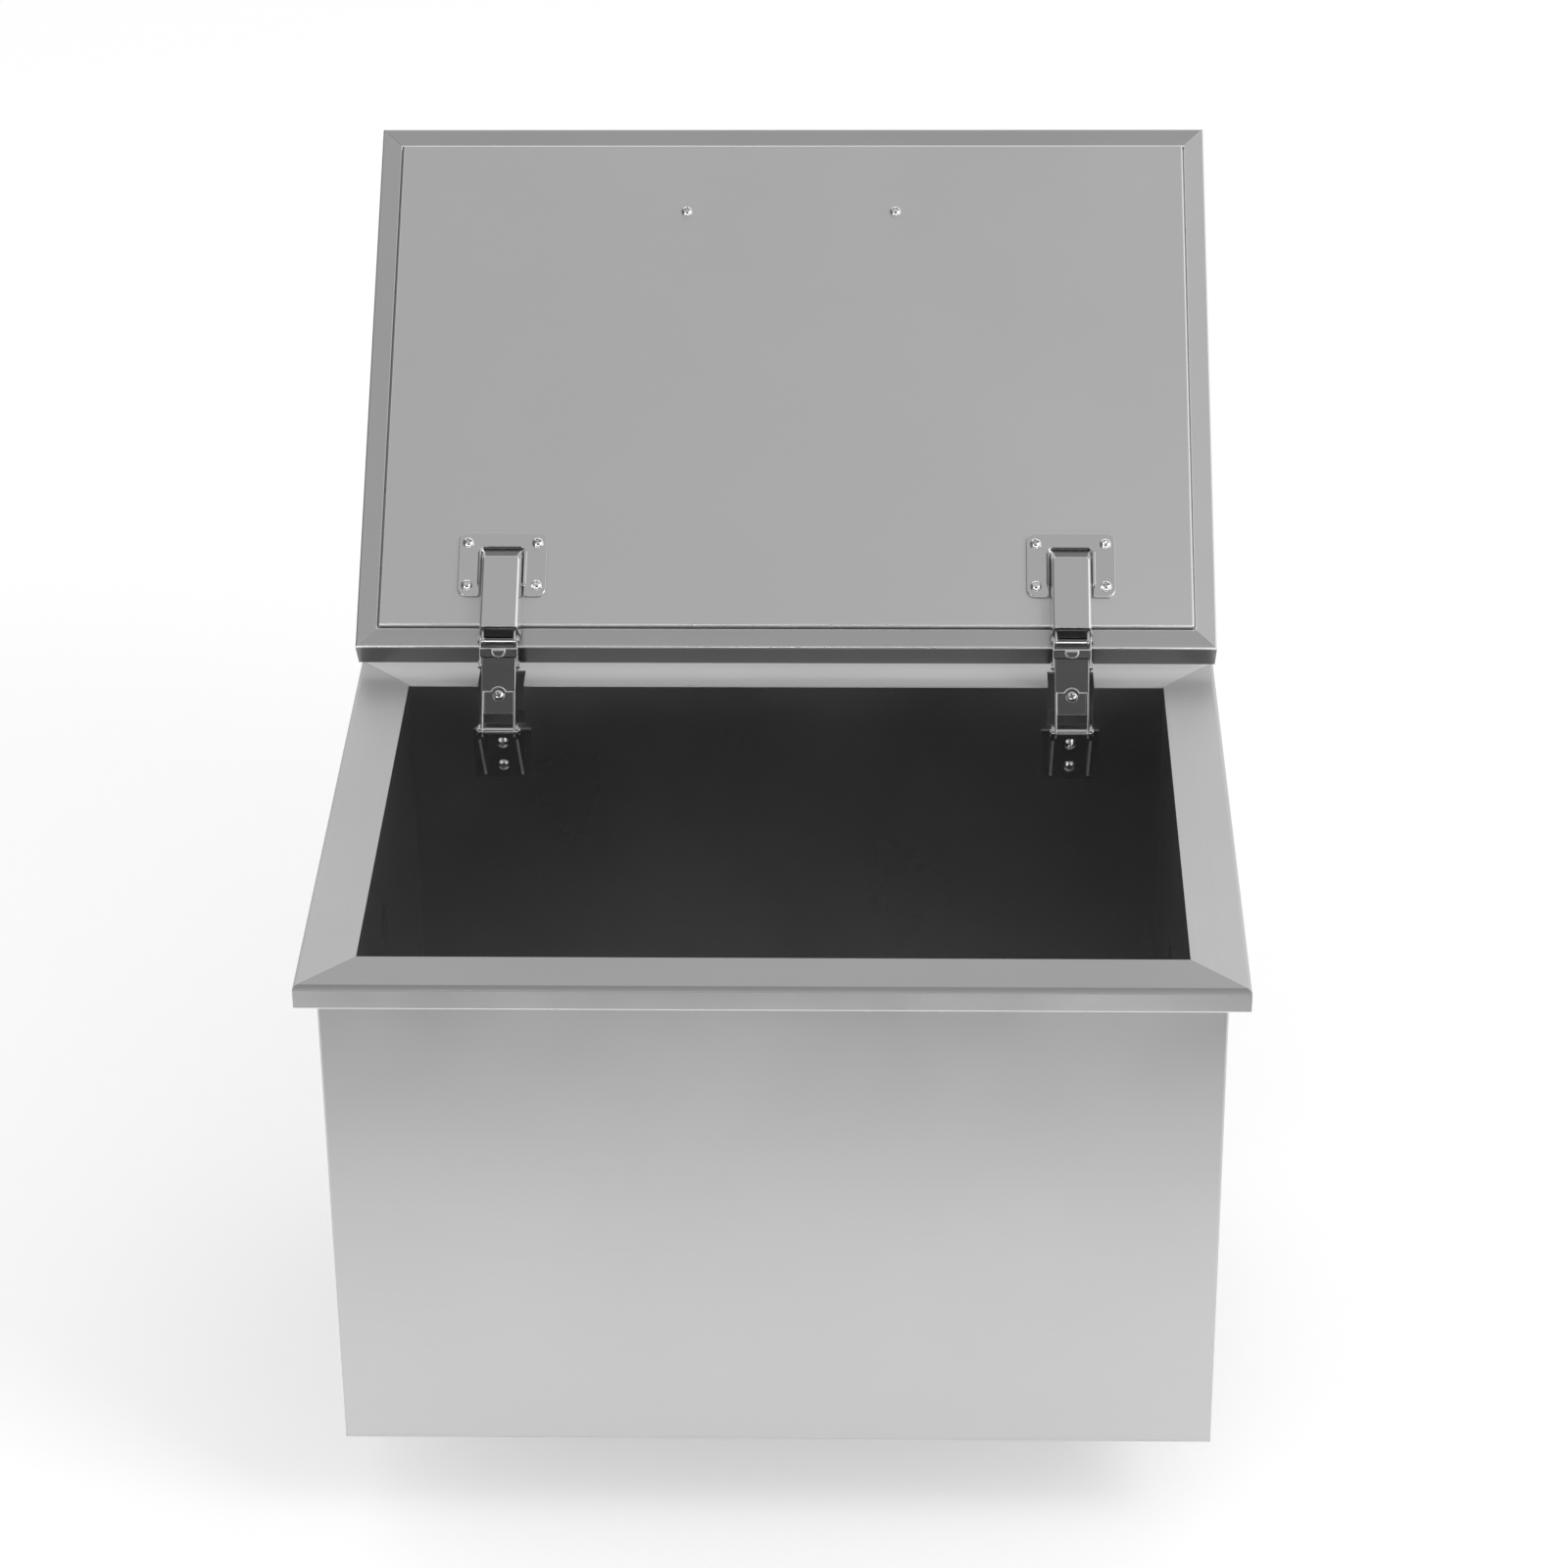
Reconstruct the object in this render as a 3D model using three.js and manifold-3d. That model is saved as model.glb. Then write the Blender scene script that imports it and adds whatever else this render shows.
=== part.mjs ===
// Drop-in ice bin: an insulated stainless tank that hangs in a counter cut-out by its rim,
// with a hinged double-skinned lid, two folding link hinges and a plugged drain.
// Millimetres, +Z up, +Y to the rear. The origin is the middle of the front run of the
// counter seat. The lid is drawn open, leaning back on its hinge stops.
import * as THREE from "three";
import { mergeVertices } from "three/addons/utils/BufferGeometryUtils.js";
import Module from "manifold-3d";

const wasm = await Module();
wasm.setup();

// Rim: a folded frame that rests on the counter
const rimWidth = 508;
const rimDepth = 369;
const rimStrip = 31;
const skirtHeight = 14;
const seatWidth = 10;
const rimFold = 2.6;
const sheet = 1;

// Body: casing, tank and insulation
const bodyHeight = 305;
const rimOverhang = 11;
const floorInsulation = 19;
const foamTopGap = 1;
const fitGap = 0.3;

// Lid: outer pan with a returned rim, and a raised liner panel
const lidWidth = rimWidth;
const lidSetback = 13;
const lidLength = rimDepth - lidSetback;
const lidThickness = 22;
const lidRim = 12.6;
const linerRise = 2.7;
const linerTuck = 3;
const lidOpenAngle = 143.3;

// Hinge linkage: tank pivot, swinging link, yoke and lid pivot
const hingeInset = 85.5;
const linkLength = 39;
const linkOpenAngle = 57;
const yokeLength = 14.5;
const yokeOpenAngle = 69.8;
const tankPivotDrop = 16.8;
const lidPivotInset = 1.5;
const lidPivotRise = 6.6;
const pinRadius = 1.75;
const pinHeadRadius = 2.6;
const pinHeadHeight = 0.8;
const barrelRadius = 2.3;
const runGap = 0.3;
const eyeRadius = 3.5;
const hingePlay = 0.95;

// Link: a channel with a riveted inner arm
const linkWidth = 20;
const linkSheet = 1.2;
const linkDepth = 8;
const linkWebLength = 20.2;
const notchRadius = 4.4;
const notchSetback = 1.6;
const innerArmLength = 22;
const innerArmRise = 0.6;

// Yoke: two side plates and a bridge with a pressed half-moon lug
const yokeSheet = 1;
const yokeBridge = 5.2;
const yokeBridgeStart = 5.2;
const yokeBridgeRise = 3;
const lugRadius = 3.9;
const lugRise = 0.6;
const lugStart = 4.8;
const lugEnd = 9.1;

// Box arm on the lid
const armBaseWidth = 25.6;
const armTopWidth = 21.8;
const armHeight = 11.5;
const armStart = 6.2;
const armStartSlope = 0.4;
const armEnd = 63.4;
const armEndSlope = 10.5;
const armSheet = 1.2;
const earHeight = 7.4;
const earReach = 14;
const earTab = 4;

// Lid hinge plate
const plateWidth = 52.5;
const plateLength = 41.7;
const plateStart = 31.8;
const plateSheet = 1.5;
const plateCorner = 5;
const plateScrewPitch = 41.4;
const plateScrewSpan = 28;
const plateBridge = 9.7;
const plateFlangeHeight = 2.2;
const plateFlangeLength = 25;

// Screws
const screwHeadRadius = 3.5;
const screwHeadHeight = 2.2;
const screwRadius = 1.8;
const screwLength = 6;
const recessWidth = 0.9;
const recessSpan = 3.8;
const recessDepth = 1.2;

// Tank bracket and the pocket that the folded hinge drops into
const bracketSheet = 1.5;
const bracketWidth = 34;
const bracketHeight = 33;
const bracketDrop = 29;
const bracketEye = 4;
const bracketScrewPitch = 15;
const pocketWidth = 27.2;
const pocketDrop = 26;
const pocketSheet = 0.8;

// Handle on the outside of the lid
const handlePitch = 128;
const handleBar = 10;
const handleHeight = 32;
const handleBend = 12;
const handleInset = 60.6;
const handleThread = 9;

// Drain
const drainPipeRadius = 13.5;
const drainBore = 11;
const drainFlangeRadius = 24;
const drainFlangeHeight = 2;
const drainStub = 26;
const gasketRadius = 21;
const gasketHeight = 2.5;
const nutAcross = 38;
const nutHeight = 8;
const tailpipeRadius = 16;
const tailpipeLength = 52;
const tailpipeOverlap = 13;
const plugTaper = 0.8;
const plugDepth = 14;
const plugCapRadius = 15;
const plugCapHeight = 3;
const pullRadius = 7;
const pullBar = 1.3;

// Faceting
const roundSides = 24;
const screwSides = 12;
const arcSteps = 8;
const domeSteps = 3;
const overrun = 2;
const weldDistance = 1e-4;

const halfTurn = Math.PI;
const rad = THREE.MathUtils.degToRad;

// Places that follow from the sizes above, in the rim frame: its origin is the middle of
// the rim's front edge, at the height of the rim's top face
const halfWidth = rimWidth / 2;
const bodyBack = rimDepth - rimOverhang;
const tankHalfWidth = halfWidth - rimStrip;
const tankFront = rimStrip;
const tankBack = rimDepth - rimStrip;
const casingFloor = -bodyHeight;
const tankFloor = casingFloor + sheet + floorInsulation + sheet;
const tankMiddle = (tankFront + tankBack) / 2;
const pocketBack = bodyBack - sheet - pocketSheet;
const tankPivot = new THREE.Vector2(pocketBack - hingePlay - eyeRadius - linkLength, -tankPivotDrop);
const turned = (length, angle) => new THREE.Vector2(length, 0).rotateAround(new THREE.Vector2(), angle);
const linkTop = tankPivot.clone().add(turned(linkLength, rad(linkOpenAngle)));
const lidPivot = linkTop.clone().add(turned(yokeLength, rad(yokeOpenAngle)));
const lidTilt = halfTurn - rad(lidOpenAngle);
const lidCorner = lidPivot.clone().sub(turned(lidPivotInset, lidTilt));
lidCorner.sub(turned(lidPivotRise, lidTilt + halfTurn / 2));

// Finishes
const finish = (color, metalness, roughness) =>
  new THREE.MeshStandardMaterial({ color, metalness, roughness });
const satinSteel = finish(0xb9babb, 0.9, 0.36);
const linerSteel = finish(0xababab, 0.9, 0.42);
const tankSteel = finish(0xa8a9aa, 0.9, 0.34);
const polishedSteel = finish(0xc6c7c9, 1, 0.14);
const linkSteel = finish(0x8f9092, 1, 0.2);
const screwSteel = finish(0xd2d3d4, 1, 0.18);
const foam = finish(0xe6dfae, 0, 0.95);
const rubber = finish(0x232425, 0, 0.8);
const pipePlastic = finish(0xe8e8e4, 0, 0.5);

// Turns a closed geometry into a solid for cutting and joining
function solid(geometry) {
  const bare = geometry.index ? geometry.toNonIndexed() : geometry.clone();
  bare.deleteAttribute("normal");
  bare.deleteAttribute("uv");
  const merged = mergeVertices(bare, weldDistance);
  const mesh = new wasm.Mesh({
    numProp: 3,
    vertProperties: new Float32Array(merged.attributes.position.array),
    triVerts: new Uint32Array(merged.index.array),
  });
  return new wasm.Manifold(mesh);
}

function block(x0, x1, y0, y1, z0, z1) {
  const geometry = new THREE.BoxGeometry(x1 - x0, y1 - y0, z1 - z0);
  geometry.translate((x0 + x1) / 2, (y0 + y1) / 2, (z0 + z1) / 2);
  return solid(geometry);
}

// A closed outline in the YZ plane, drawn out along X
function alongX(points, x0, x1) {
  const shape = points instanceof THREE.Shape ? points : new THREE.Shape(points);
  const geometry = new THREE.ExtrudeGeometry(shape, {
    depth: x1 - x0,
    bevelEnabled: false,
    curveSegments: arcSteps,
  });
  const axes = new THREE.Matrix4().makeBasis(
    new THREE.Vector3(0, 1, 0),
    new THREE.Vector3(0, 0, 1),
    new THREE.Vector3(1, 0, 0),
  );
  geometry.applyMatrix4(axes);
  geometry.translate(x0, 0, 0);
  return solid(geometry);
}

// A closed outline in the XY plane, drawn up along Z
function alongZ(shape, z0, z1) {
  const geometry = new THREE.ExtrudeGeometry(shape, {
    depth: z1 - z0,
    bevelEnabled: false,
    curveSegments: arcSteps,
  });
  geometry.translate(0, 0, z0);
  return solid(geometry);
}

function rodX(radius, x0, x1, centre, sides = screwSides) {
  const geometry = new THREE.CylinderGeometry(radius, radius, x1 - x0, sides);
  geometry.rotateZ(halfTurn / 2);
  geometry.translate((x0 + x1) / 2, centre.x, centre.y);
  return solid(geometry);
}

function rodY(radius, y0, y1, x, z, sides = screwSides) {
  const geometry = new THREE.CylinderGeometry(radius, radius, y1 - y0, sides);
  geometry.translate(x, (y0 + y1) / 2, z);
  return solid(geometry);
}

function rodZ(radius, z0, z1, x = 0, y = 0, sides = roundSides) {
  const geometry = new THREE.CylinderGeometry(radius, radius, z1 - z0, sides);
  geometry.rotateX(halfTurn / 2);
  geometry.translate(x, y, (z0 + z1) / 2);
  return solid(geometry);
}

// A profile of [inset, height] points carried round a rectangle with mitred corners
function frameRing(profile, x0, x1, y0, y1) {
  const corners = [[0, 0], [1, 0], [1, 1], [0, 1]];
  const positions = [];
  for (const [cx, cy] of corners) {
    for (const [inset, height] of profile) {
      positions.push(cx ? x1 - inset : x0 + inset, cy ? y1 - inset : y0 + inset, height);
    }
  }
  const count = profile.length;
  const faces = [];
  for (let corner = 0; corner < corners.length; corner++) {
    const here = corner * count;
    const next = ((corner + 1) % corners.length) * count;
    for (let i = 0; i < count; i++) {
      const j = (i + 1) % count;
      faces.push(here + i, next + i, next + j, here + i, next + j, here + j);
    }
  }
  const geometry = new THREE.BufferGeometry();
  geometry.setAttribute("position", new THREE.Float32BufferAttribute(positions, 3));
  geometry.setIndex(faces);
  return solid(geometry);
}

// A rounded rectangle from its two corners
function roundedRectangle(x0, x1, y0, y1, radius) {
  const shape = new THREE.Shape();
  shape.moveTo(x0 + radius, y0);
  shape.lineTo(x1 - radius, y0);
  shape.absarc(x1 - radius, y0 + radius, radius, -halfTurn / 2, 0);
  shape.lineTo(x1, y1 - radius);
  shape.absarc(x1 - radius, y1 - radius, radius, 0, halfTurn / 2);
  shape.lineTo(x0 + radius, y1);
  shape.absarc(x0 + radius, y1 - radius, radius, halfTurn / 2, halfTurn);
  shape.lineTo(x0, y0 + radius);
  shape.absarc(x0 + radius, y0 + radius, radius, halfTurn, 1.5 * halfTurn);
  return shape;
}

// A strip with round ends of its own radii, from the origin along +Y of its own frame
function eyeStrip(length, startRadius, endRadius) {
  const shape = new THREE.Shape();
  shape.moveTo(0, -startRadius);
  shape.lineTo(length, -endRadius);
  shape.absarc(length, 0, endRadius, -halfTurn / 2, halfTurn / 2);
  shape.lineTo(0, startRadius);
  shape.absarc(0, 0, startRadius, halfTurn / 2, 1.5 * halfTurn);
  return shape;
}

function meshOf(name, body, material) {
  const made = body.getMesh();
  const geometry = new THREE.BufferGeometry();
  geometry.setAttribute("position", new THREE.BufferAttribute(made.vertProperties, 3));
  geometry.setIndex(new THREE.BufferAttribute(made.triVerts, 1));
  geometry.computeVertexNormals();
  const mesh = new THREE.Mesh(geometry, material);
  mesh.name = name;
  return mesh;
}

const cutAll = (body, tools) => tools.reduce((left, tool) => left.subtract(tool), body);
const joinAll = (bodies) => bodies.reduce((whole, next) => whole.add(next));

// A domed cross-recess screw that stands on z = 0 and points down
function panScrew(length, headRadius = screwHeadRadius) {
  const head = [new THREE.Vector2(0, -length), new THREE.Vector2(screwRadius, -length)];
  head.push(new THREE.Vector2(screwRadius, 0), new THREE.Vector2(headRadius, 0));
  for (let step = 1; step <= domeSteps; step++) {
    const turn = (step / domeSteps) * (halfTurn / 2);
    const radius = headRadius * Math.cos(turn);
    head.push(new THREE.Vector2(radius, screwHeadHeight * Math.sin(turn)));
  }
  const turnedHead = new THREE.LatheGeometry(head, screwSides);
  turnedHead.rotateX(halfTurn / 2);
  const floor = screwHeadHeight - recessDepth;
  const half = recessSpan / 2;
  const blade = recessWidth / 2;
  const slots = [
    block(-half, half, -blade, blade, floor, screwHeadHeight + overrun),
    block(-blade, blade, -half, half, floor, screwHeadHeight + overrun),
  ];
  return cutAll(solid(turnedHead), slots);
}

function placed(mesh, x, y, z, tilt = 0) {
  mesh.position.set(x, y, z);
  mesh.rotation.x = tilt;
  return mesh;
}

const hingeOffset = halfWidth - hingeInset;
const hingeSides = [["left", -hingeOffset], ["right", hingeOffset]];
const pocketHalf = pocketWidth / 2;
const pocketCuts = (grow, y0, y1, z0, z1) =>
  hingeSides.map(([, x]) => block(x - pocketHalf - grow, x + pocketHalf + grow, y0, y1, z0, z1));

// Heights of each bracket's two screws, and their holes in the layers behind
const bracketRows = [bracketScrewPitch, -bracketScrewPitch].map(
  (pitch) => pitch / 2 - bracketDrop - bracketHeight / 2,
);
const bracketBores = (y0, y1) =>
  hingeSides.flatMap(([, x]) => bracketRows.map((z) => rodY(screwRadius + fitGap, y0, y1, x, z)));

// Rim: folded skirt, flat strip and an inward seat along the bottom of the skirt
function rimFlange() {
  const profile = [[0, -skirtHeight], [0, -rimFold]];
  for (let step = 1; step <= arcSteps / 2; step++) {
    const turn = (step / (arcSteps / 2)) * (halfTurn / 2);
    profile.push([rimFold * (1 - Math.cos(turn)), rimFold * (Math.sin(turn) - 1)]);
  }
  profile.push([rimStrip, 0], [rimStrip, -sheet], [rimFold, -sheet], [sheet, -rimFold]);
  profile.push([sheet, sheet - skirtHeight], [seatWidth, sheet - skirtHeight]);
  profile.push([seatWidth, -skirtHeight]);
  const ring = frameRing(profile, -halfWidth, halfWidth, 0, rimDepth);
  return cutAll(ring, pocketCuts(0, tankBack - overrun, pocketBack, -rimStrip, overrun));
}

// Tank: four walls and a floor, with the hinge pockets and the drain hole cut through
function innerTank() {
  const outside = block(
    -tankHalfWidth - sheet, tankHalfWidth + sheet,
    tankFront - sheet, tankBack + sheet, tankFloor - sheet, -sheet,
  );
  const inside = block(-tankHalfWidth, tankHalfWidth, tankFront, tankBack, tankFloor, overrun);
  const drainHole = rodZ(
    drainPipeRadius + fitGap, tankFloor - sheet - overrun, tankFloor + overrun, 0, tankMiddle,
  );
  const hinges = pocketCuts(0, tankBack - overrun, tankBack + sheet + overrun, -pocketDrop, overrun);
  const bores = bracketBores(tankBack - overrun, tankBack + sheet + overrun);
  return cutAll(outside, [inside, drainHole, ...hinges, ...bores]);
}

function casingShell() {
  const side = halfWidth - rimOverhang;
  const outside = block(-side, side, rimOverhang, bodyBack, casingFloor + sheet, -sheet);
  const inside = block(
    -side + sheet, side - sheet, rimOverhang + sheet, bodyBack - sheet,
    casingFloor - overrun, overrun,
  );
  return outside.subtract(inside);
}

function casingBottom() {
  const side = halfWidth - rimOverhang;
  const plate = block(-side, side, rimOverhang, bodyBack, casingFloor, casingFloor + sheet);
  const hole = rodZ(
    drainPipeRadius + fitGap, casingFloor - overrun, casingFloor + sheet + overrun, 0, tankMiddle,
  );
  return plate.subtract(hole);
}

// Foam between the casing and the tank, hollowed round the hinge pockets
function wallFoam() {
  const side = halfWidth - rimOverhang - sheet - fitGap;
  const outside = block(
    -side, side, rimOverhang + sheet + fitGap, bodyBack - sheet - fitGap,
    tankFloor, -sheet - foamTopGap,
  );
  const inner = sheet + fitGap;
  const inside = block(
    -tankHalfWidth - inner, tankHalfWidth + inner, tankFront - inner, tankBack + inner,
    tankFloor - overrun, overrun,
  );
  const room = pocketSheet + fitGap;
  const hinges = pocketCuts(room, tankBack, bodyBack, -pocketDrop - room, overrun);
  const bores = bracketBores(tankBack, tankBack + screwLength);
  return cutAll(outside, [inside, ...hinges, ...bores]);
}

function floorFoam() {
  const side = halfWidth - rimOverhang - sheet - fitGap;
  const slab = block(
    -side, side, rimOverhang + sheet + fitGap, bodyBack - sheet - fitGap,
    casingFloor + sheet + fitGap, tankFloor - sheet - fitGap,
  );
  const hole = rodZ(
    drainPipeRadius + fitGap, casingFloor - overrun, tankFloor + overrun, 0, tankMiddle,
  );
  return slab.subtract(hole);
}

// Pocket behind the tank wall, open at the front and the top
function hingePocket() {
  const wall = pocketHalf + pocketSheet;
  const front = tankBack + sheet;
  const back = pocketBack + pocketSheet;
  const outside = block(-wall, wall, front, back, -pocketDrop - pocketSheet, -sheet);
  const inside = block(
    -pocketHalf, pocketHalf, front - overrun, pocketBack, -pocketDrop, overrun,
  );
  return outside.subtract(inside);
}

// Bracket on the tank's rear wall, with two ears that carry the link's lower pin
function tankBracket() {
  const plateBack = tankBack;
  const plateFront = plateBack - bracketSheet;
  const top = -bracketDrop;
  const bottom = top - bracketHeight;
  const half = bracketWidth / 2;
  const plate = block(-half, half, plateFront, plateBack, bottom, top);
  const inner = linkWidth / 2 + runGap;
  const outline = new THREE.Shape();
  outline.moveTo(plateFront + bracketSheet / 2, top - bracketSheet);
  outline.lineTo(tankPivot.x + bracketEye, tankPivot.y);
  outline.absarc(tankPivot.x, tankPivot.y, bracketEye, 0, halfTurn);
  outline.lineTo(tankPivot.x - bracketEye, tankPivot.y - bracketEye);
  outline.lineTo(plateFront + bracketSheet / 2, bottom + bracketSheet);
  const ears = [-inner - bracketSheet, inner].map((x) => alongX(outline, x, x + bracketSheet));
  const bore = rodX(pinRadius + runGap, -half, half, tankPivot);
  const holes = bracketRows.map((z) => rodY(screwRadius + fitGap, plateFront - overrun, tankBack, 0, z));
  return cutAll(joinAll([plate, ...ears]), [bore, ...holes]);
}

// A headed pin along X for a stack that is as wide as its outer plates
function hingePin(outerHalf, centre) {
  const under = outerHalf + runGap / 2;
  const shaft = rodX(pinRadius, -under, under, centre);
  const heads = [[-under - pinHeadHeight, -under], [under, under + pinHeadHeight]];
  return joinAll([shaft, ...heads.map(([x0, x1]) => rodX(pinHeadRadius, x0, x1, centre))]);
}

// The lid's pin is thicker between the arm's ears, where it shows
function barrelPin(outerHalf, centre) {
  const half = linkWidth / 2 - linkSheet - runGap;
  return hingePin(outerHalf, centre).add(rodX(barrelRadius, -half, half, centre));
}

// Link in its own frame: the tank pivot at the origin, the yoke pivot along +Y, its web on +Z
function linkChannel() {
  const half = linkWidth / 2;
  const rise = linkDepth / 2;
  const webStart = linkLength + eyeRadius - linkWebLength;
  const wallOutline = new THREE.Shape();
  wallOutline.moveTo(0, -rise);
  wallOutline.lineTo(linkLength, -eyeRadius);
  wallOutline.absarc(linkLength, 0, eyeRadius, -halfTurn / 2, 0);
  wallOutline.lineTo(linkLength + eyeRadius, rise);
  wallOutline.lineTo(0, rise);
  wallOutline.absarc(0, 0, rise, halfTurn / 2, 1.5 * halfTurn);
  const walls = [-half, half - linkSheet].map((x) => alongX(wallOutline, x, x + linkSheet));
  const webEnd = linkLength + eyeRadius;
  const web = block(-half, half, webStart, webEnd, rise - linkSheet, rise);
  const notch = rodZ(notchRadius, 0, rise + overrun, 0, webStart - notchSetback);
  const bores = [0, linkLength].map((y) =>
    rodX(pinRadius + runGap, -half - overrun, half + overrun, new THREE.Vector2(y, 0)),
  );
  return cutAll(joinAll([...walls, web.subtract(notch)]), bores);
}

const screwOnLink = linkLength + eyeRadius - linkWebLength - notchSetback;

// Inner arm between the walls of the link, held by the screw that shows in the notch
function innerArm() {
  const half = linkWidth / 2 - linkSheet - fitGap;
  const start = screwOnLink - innerArmLength / 2;
  const end = screwOnLink + innerArmLength / 2;
  const plate = block(-half, half, start, end, innerArmRise, innerArmRise + linkSheet);
  const hole = rodZ(screwRadius + fitGap, -linkDepth, linkDepth, 0, screwOnLink, screwSides);
  return plate.subtract(hole);
}

// Yoke in its own frame: the link pivot at the origin, the lid pivot along +Y
function yokePlates() {
  const inner = linkWidth / 2 + runGap;
  const outer = inner + yokeSheet;
  const strip = eyeStrip(yokeLength, eyeRadius, eyeRadius);
  const plates = [-outer, inner].map((x) => alongX(strip, x, x + yokeSheet));
  const bridge = block(
    -outer, outer, yokeBridgeStart, yokeBridgeStart + yokeBridge,
    yokeBridgeRise, yokeBridgeRise + linkSheet,
  );
  const lugFloor = yokeBridgeRise + linkSheet / 2;
  const lugTop = yokeBridgeRise + linkSheet + lugRise;
  const lug = rodZ(lugRadius, lugFloor, lugTop, 0, lugStart + lugRadius);
  const lugCut = block(-outer, outer, lugEnd, lugEnd + lugRadius + overrun, 0, lugTop + overrun);
  const bores = [0, yokeLength].map((y) =>
    rodX(pinRadius + runGap, -outer - overrun, outer + overrun, new THREE.Vector2(y, 0)),
  );
  return cutAll(joinAll([...plates, bridge, lug.subtract(lugCut)]), bores);
}

// Box arm in the lid frame: a tapered hood, open below, with two ears for the lid pivot
const linerFace = linerRise + fitGap;

function taperedHood(grow, startExtra, lift) {
  const base = armBaseWidth / 2 - grow;
  const top = armTopWidth / 2 - grow;
  const z0 = linerFace + lift;
  const z1 = linerFace + armHeight - grow;
  const slope = (z1 - z0) / armHeight;
  const loops = [
    [base, armStart - startExtra, armEnd - grow, z0],
    [base + (top - base) * slope, armStart + armStartSlope - startExtra, armEnd - grow, z1],
  ];
  loops[1][2] -= armEndSlope * slope;
  const positions = [];
  for (const [half, y0, y1, z] of loops) {
    positions.push(-half, y0, z, half, y0, z, half, y1, z, -half, y1, z);
  }
  const faces = [0, 2, 1, 0, 3, 2, 4, 5, 6, 4, 6, 7];
  for (let i = 0; i < 4; i++) {
    const j = (i + 1) % 4;
    faces.push(i, j, j + 4, i, j + 4, i + 4);
  }
  const geometry = new THREE.BufferGeometry();
  geometry.setAttribute("position", new THREE.Float32BufferAttribute(positions, 3));
  geometry.setIndex(faces);
  return solid(geometry);
}

function boxArm() {
  const hood = taperedHood(0, 0, 0).subtract(taperedHood(armSheet, armStart, -fitGap));
  const outer = linkWidth / 2;
  const ear = new THREE.Shape();
  const reach = lidPivotInset + earReach;
  ear.moveTo(reach, lidPivotRise - eyeRadius);
  const underSkin = linerFace + armHeight - armSheet / 2;
  ear.lineTo(reach, underSkin);
  ear.lineTo(reach - earTab, underSkin);
  ear.lineTo(reach - earTab, lidPivotRise + earHeight - eyeRadius);
  ear.lineTo(armStart + armStartSlope, lidPivotRise + earHeight - eyeRadius);
  ear.lineTo(lidPivotInset, lidPivotRise + eyeRadius);
  ear.absarc(lidPivotInset, lidPivotRise, eyeRadius, halfTurn / 2, 1.5 * halfTurn);
  const ears = [-outer, outer - linkSheet].map((x) => alongX(ear, x, x + linkSheet));
  const centre = new THREE.Vector2(lidPivotInset, lidPivotRise);
  const bore = rodX(pinRadius + runGap, -armBaseWidth, armBaseWidth, centre);
  return joinAll([hood, ...ears]).subtract(bore);
}

const plateMiddle = plateStart + plateLength / 2;
const plateScrews = [-1, 1].flatMap((across) =>
  [-1, 1].map((along) => [
    (across * plateScrewPitch) / 2,
    plateMiddle + (along * plateScrewSpan) / 2,
  ]),
);

// Hinge plate: a rounded U round the box arm, with folded inner edges
function hingePlate() {
  const half = plateWidth / 2;
  const end = plateStart + plateLength;
  const top = linerFace + plateSheet;
  const outline = roundedRectangle(-half, half, plateStart, end, plateCorner);
  const slotHalf = armBaseWidth / 2 + fitGap;
  const slot = block(
    -slotHalf, slotHalf, plateStart - overrun, end - plateBridge,
    linerFace - overrun, top + overrun,
  );
  const flangeStart = plateMiddle - plateFlangeLength / 2 - plateCorner / 2;
  const flanges = [-slotHalf - linkSheet, slotHalf].map((x) =>
    block(
      x, x + linkSheet, flangeStart, flangeStart + plateFlangeLength,
      linerFace, top + plateFlangeHeight,
    ),
  );
  const holes = plateScrews.map(([x, y]) =>
    rodZ(screwRadius + fitGap, linerFace - overrun, top + overrun, x, y, screwSides),
  );
  return cutAll(joinAll([alongZ(outline, linerFace, top).subtract(slot), ...flanges]), holes);
}

const handleRow = lidLength - handleInset;
const handleFeet = [-handlePitch / 2, handlePitch / 2];
const lidHoles = [
  ...hingeSides.flatMap(([, side]) => plateScrews.map(([x, y]) => [side + x, y])),
  ...handleFeet.map((x) => [x, handleRow]),
];

// Round holes through the lid's layers for every screw
function lidBores(z0, z1, gap, list = lidHoles) {
  return list.map(([x, y]) => rodZ(screwRadius + gap, z0, z1, x, y, screwSides));
}

// Lid pan in the lid frame: the returned rim at z = 0, the outer face below, hinges at y = 0
function lidShell() {
  const half = lidWidth / 2;
  const outside = block(-half, half, 0, lidLength, -lidThickness, 0);
  const inside = block(
    sheet - half, half - sheet, sheet, lidLength - sheet, sheet - lidThickness, -sheet,
  );
  const mouth = block(
    lidRim - half, half - lidRim, lidRim, lidLength - lidRim, -lidThickness / 2, overrun,
  );
  const bores = lidBores(
    -lidThickness - overrun, sheet - lidThickness + overrun, fitGap,
    handleFeet.map((x) => [x, handleRow]),
  );
  return cutAll(outside, [inside, mouth, ...bores]);
}

// Liner: a shallow tray whose edges tuck into the mouth of the pan
function lidLiner() {
  const half = lidWidth / 2 - lidRim - fitGap;
  const start = lidRim + fitGap;
  const end = lidLength - lidRim - fitGap;
  const outside = block(-half, half, start, end, -linerTuck, linerRise);
  const inside = block(
    sheet - half, half - sheet, start + sheet, end - sheet,
    -linerTuck - overrun, linerRise - sheet,
  );
  return cutAll(outside, [inside, ...lidBores(-linerTuck, linerRise + overrun, fitGap)]);
}

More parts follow.
